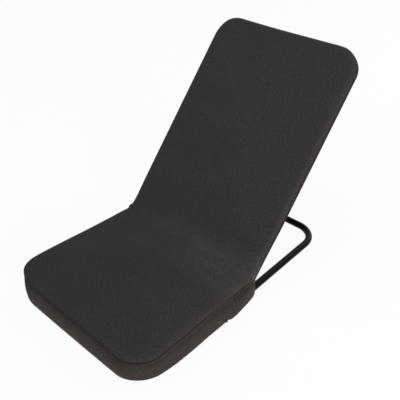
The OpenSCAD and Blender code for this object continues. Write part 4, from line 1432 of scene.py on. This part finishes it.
def teethTree(v, count):
    tree, given, node = startTree("zipTeeth", (
        ("Base", "Geometry", None), ("Count", "Int", count), ("Pitch", "Float", v["pitch"]),
        ("Stem", "Vector", v["stem"]), ("Head", "Float", v["headR"]), ("Reach", "Float", v["reach"]),
        ("Seed", "Int", v["seed"]), ("Plastic", "Material", None)))

    def moved(solid, y):
        shift = node("ShaderNodeCombineXYZ", {1: y})
        return node("GeometryNodeTransform", {"Geometry": solid, "Translation": shift})

    def joined(solids):
        both = tree.nodes.new("GeometryNodeJoinGeometry")
        for solid in solids:
            feed(both, {0: solid})
        return Wire(tree, both.outputs[0])

    # one tooth: a stem with a round head
    _, deep, high = axes(given["Stem"])
    stem = node("GeometryNodeMeshCube", {"Size": given["Stem"]})
    stem = node("GeometryNodeSubdivisionSurface", {"Mesh": stem, "Level": 1, "Edge Crease": 0.45})
    head = node("GeometryNodeMeshCylinder", {"Vertices": 12, "Side Segments": 1, "Fill Segments": 1,
                                             "Radius": given["Head"], "Depth": high * 0.88}, fill_type="NGON")
    tooth = joined((moved(stem, deep * -0.62), moved(head, given["Reach"])))
    # two rows that face each other, half a pitch apart
    step = node("ShaderNodeCombineXYZ", {0: given["Pitch"]})
    rows = []
    for shift, spin in ((0.25, 0.0), (0.75, math.pi)):
        start = node("ShaderNodeCombineXYZ", {0: given["Count"] * given["Pitch"] * -0.5 + given["Pitch"] * shift})
        line = node("GeometryNodeMeshLine", {"Count": given["Count"], "Start Location": start, "Offset": step},
                    mode="OFFSET")
        least, most = ((sign * v["tilt"], sign * v["tilt"], spin + sign * v["twist"]) for sign in (-1, 1))
        turn = node("FunctionNodeEulerToRotation", {0: randomBetween(node, least, most, given["Seed"])})
        rows.append(node("GeometryNodeInstanceOnPoints", {"Points": line, "Instance": tooth, "Rotation": turn}))
    return endTree(tree, node("GeometryNodeRealizeInstances", {0: joined(rows)}), given["Plastic"])


def buildTeeth(v):
    count = int(2 * zipPlace["half"] / v["pitch"]) - 1
    values = {"Count": count, "Pitch": v["pitch"], "Stem": v["stem"], "Head": v["headR"], "Reach": v["reach"],
              "Plastic": finishes["zipPlastic"]}
    made = useTree(lineMesh([]), teethTree(v, count), values, "zipTeethRows")
    made.transform(Matrix.Translation((0, 0, v["lift"])))
    return makePiece(made, "zipTeethRows", "zipPlastic", zipFrame)


zipTeethRows = buildTeeth(teeth)
print("zip teeth:", len(zipTeethRows.data.polygons), "faces")

# Collars: bound openings where the floor tube leaves the seat's rear wall

collar = {
    "x": 0.2130,
    "z": 0.0106,
    "inner": 0.0097,
    "wide": 0.0042,
    "thin": 0.0006,
    "sides": 48,
    "outerX": 0.2262,
    # its section, outwards from the tube and out of the wall
    "section": ((0.0, -0.0010), (-0.02, 0.0006), (0.06, 0.0014), (0.2, 0.0019), (0.42, 0.0021), (0.58, 0.0018),
                (0.66, 0.0015), (0.76, 0.0017), (0.92, 0.0013), (1.0, 0.0006), (1.0, -0.0010)),
    "stitchOut": 0.64,
    "stitchDepth": 0.0019,
    "stitchFrom": 40,
    "stitchPoints": 37,
    "stitchSizes": {"Pitch": 0.0030, "Length": 0.0023},
}


def collarRing(side, out, depth):
    a = np.linspace(0, 2 * math.pi, collar["sides"], endpoint=False)
    wide = mixed(collar["thin"], collar["wide"], smooth(-0.85, 0.1, np.sin(a)))
    r = collar["inner"] + wide * out
    x = np.minimum(collar["x"] + r * np.cos(a), collar["outerX"] - 0.0004 * (1 - out))
    z = np.maximum(collar["z"] + r * np.sin(a), 0.0003)
    y = rearWall - midY + depth + 0.12 * mm * waves(np.stack([x, z], 1), 0.006, 61)
    return np.stack([side * x, y, z], 1)


def buildCollars(v):
    made = bmesh.new()
    for side in (-1, 1):
        made.from_mesh(sweptFrame("collar", [collarRing(side, out, depth) for out, depth in v["section"]]))
    both = bpy.data.meshes.new("tubeCollars")
    made.to_mesh(both)
    made.free()
    both.shade_smooth()
    patternFrom(both, 0, 2)
    return makePiece(both, "tubeCollars", "boxingCloth")


def sewCollars(v):
    order = (np.arange(v["sides"]) + v["stitchFrom"]) % v["sides"]
    rows = [(collarRing(side, v["stitchOut"], v["stitchDepth"])[order[: v["stitchPoints"]]], False)
            for side in (-1, 1)]
    return sew(rows, (0, 1, 0), "collarStitches", **v["stitchSizes"])


tubeCollars = buildCollars(collar)
collarStitches = sewCollars(collar)
print("collars and their stitches made")

# Finishes of the CAD nodes that stay

nodeFinish = {
    "frameCoat": ("front_frame_tube", "rear_floor_tube", "base_cross_tube", "hinge_base_plate_left",
                  "hinge_base_plate_right", "hinge_back_plate_left", "hinge_back_plate_right", "back_frame_tube",
                  "back_cross_bar"),
    "zincSteel": ("stop_pins", "pivot_bolts", "pivot_nuts", "tube_joint_screws"),
    "naturalNylon": ("pivot_washers", "pivot_bushings"),
    "boxingCloth": ("seat_foam", "back_foam", "seat_cover", "back_cover"),
    "zipPlastic": ("zip_tape", "zip_teeth"),
    "zipMetal": ("zip_end_stops", "zip_slider", "zip_pull"),
}
for finish, names in nodeFinish.items():
    for name in names:
        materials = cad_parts[name].data.materials
        materials.clear()
        materials.append(finishes[finish])

# How the pieces ride

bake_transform(faceCushion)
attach(seatBase, "base")
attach(backShell, "back")
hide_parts("seat_cover")
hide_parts("back_cover")
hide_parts("seat_foam", "back_foam")
for piece, body, slot in ((zipPlacket, "back", "cover_cloth"), (zipStitches, "back", "cover_cloth"),
                          (zipTeethRows, "back", "zip_plastic"), (tubeCollars, "base", "cover_cloth"),
                          (collarStitches, "base", "cover_cloth")):
    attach(piece, body)
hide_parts("zip_teeth")

# Floor, backdrop and light

stage = {"floorSize": 12.0, "floorDrop": 0.0002, "floorTone": 0.8, "glow": 0.93, "world": 0.52}


def seenStraight(tree):
    # 1 where the camera sees it, also in or through a piece
    path = add(tree, "ShaderNodeLightPath").outputs
    camera, glossy, clear = (Wire(tree, path[f"Is {name} Ray"]) for name in ("Camera", "Glossy", "Transmission"))
    return maths("MAXIMUM", camera, maths("MAXIMUM", glossy, clear))


def makeStage(v):
    half, drop, tone = v["floorSize"], -v["floorDrop"], v["floorTone"]
    mesh = bpy.data.meshes.new("studioFloor")
    corners = [(x * half, y * half, drop) for x, y in ((-1, -1), (1, -1), (1, 1), (-1, 1))]
    mesh.from_pydata(corners, [], [(0, 1, 2, 3)])
    floor = addObject("studioFloor", mesh)
    made = bpy.data.materials.new("studioPaper")
    made.use_nodes = True
    tree = made.node_tree
    shader = tree.nodes["Principled BSDF"]
    paper = ramp(wire(tree, "ShaderNodeTexNoise", {"Scale": 40.0, "Detail": 3.0}), 0.3, 0.7)
    feed(shader, {"Base Color": mixColour(paper, (tone,) * 3 + (1,), (tone * 1.02,) * 3 + (1,)), "Roughness": 0.9})
    glow = wire(tree, "ShaderNodeEmission", {0: (1, 1, 1, 1), 1: 1.0})
    both = wire(tree, "ShaderNodeMixShader",
                {0: seenStraight(tree) * v["glow"], 1: Wire(tree, shader.outputs[0]), 2: glow})
    feed(tree.nodes["Material Output"], {"Surface": both})
    mesh.materials.append(made)
    world = bpy.data.worlds.new("studioWorld")
    bpy.context.scene.world = world
    world.use_nodes = True
    tree = world.node_tree
    feed(tree.nodes["Background"], {0: (1, 1, 1, 1), 1: ramp(seenStraight(tree), 0.0, 1.0, v["world"], 1.0)})


# place, what it points at, size in m, power in W and colour
lamps = {
    "key": ((2.6, -0.9, 0.80), (0, 0, 0.15), 1.2, 50.0, (1.0, 0.945, 0.935)),
    "fill": ((-1.5, -2.2, 1.7), (0, 0, 0.15), 2.2, 9.6, (0.94, 1.0, 1.01)),
    "top": ((0.1, -0.3, 2.8), (0, 0, 0), 2.4, 8.8, (1, 1, 1)),
    "rear": ((0.4, 2.4, 1.6), (0, 0.1, 0.2), 1.8, 20.0, (1, 1, 1)),
}


def makeLamps(values):
    for name, (spot, aim, size, power, colour) in values.items():
        data = bpy.data.lights.new(name + "Lamp", "AREA")
        data.shape, data.size, data.energy, data.color = "SQUARE", size, power, colour
        lamp = addObject(name + "Lamp", data)
        lamp.location = spot
        lamp.rotation_euler = (Vector(aim) - Vector(spot)).to_track_quat("-Z", "Y").to_euler()


makeStage(stage)
makeLamps(lamps)
bpy.context.scene.view_settings.view_transform = "Standard"
print("stage and lamps placed")
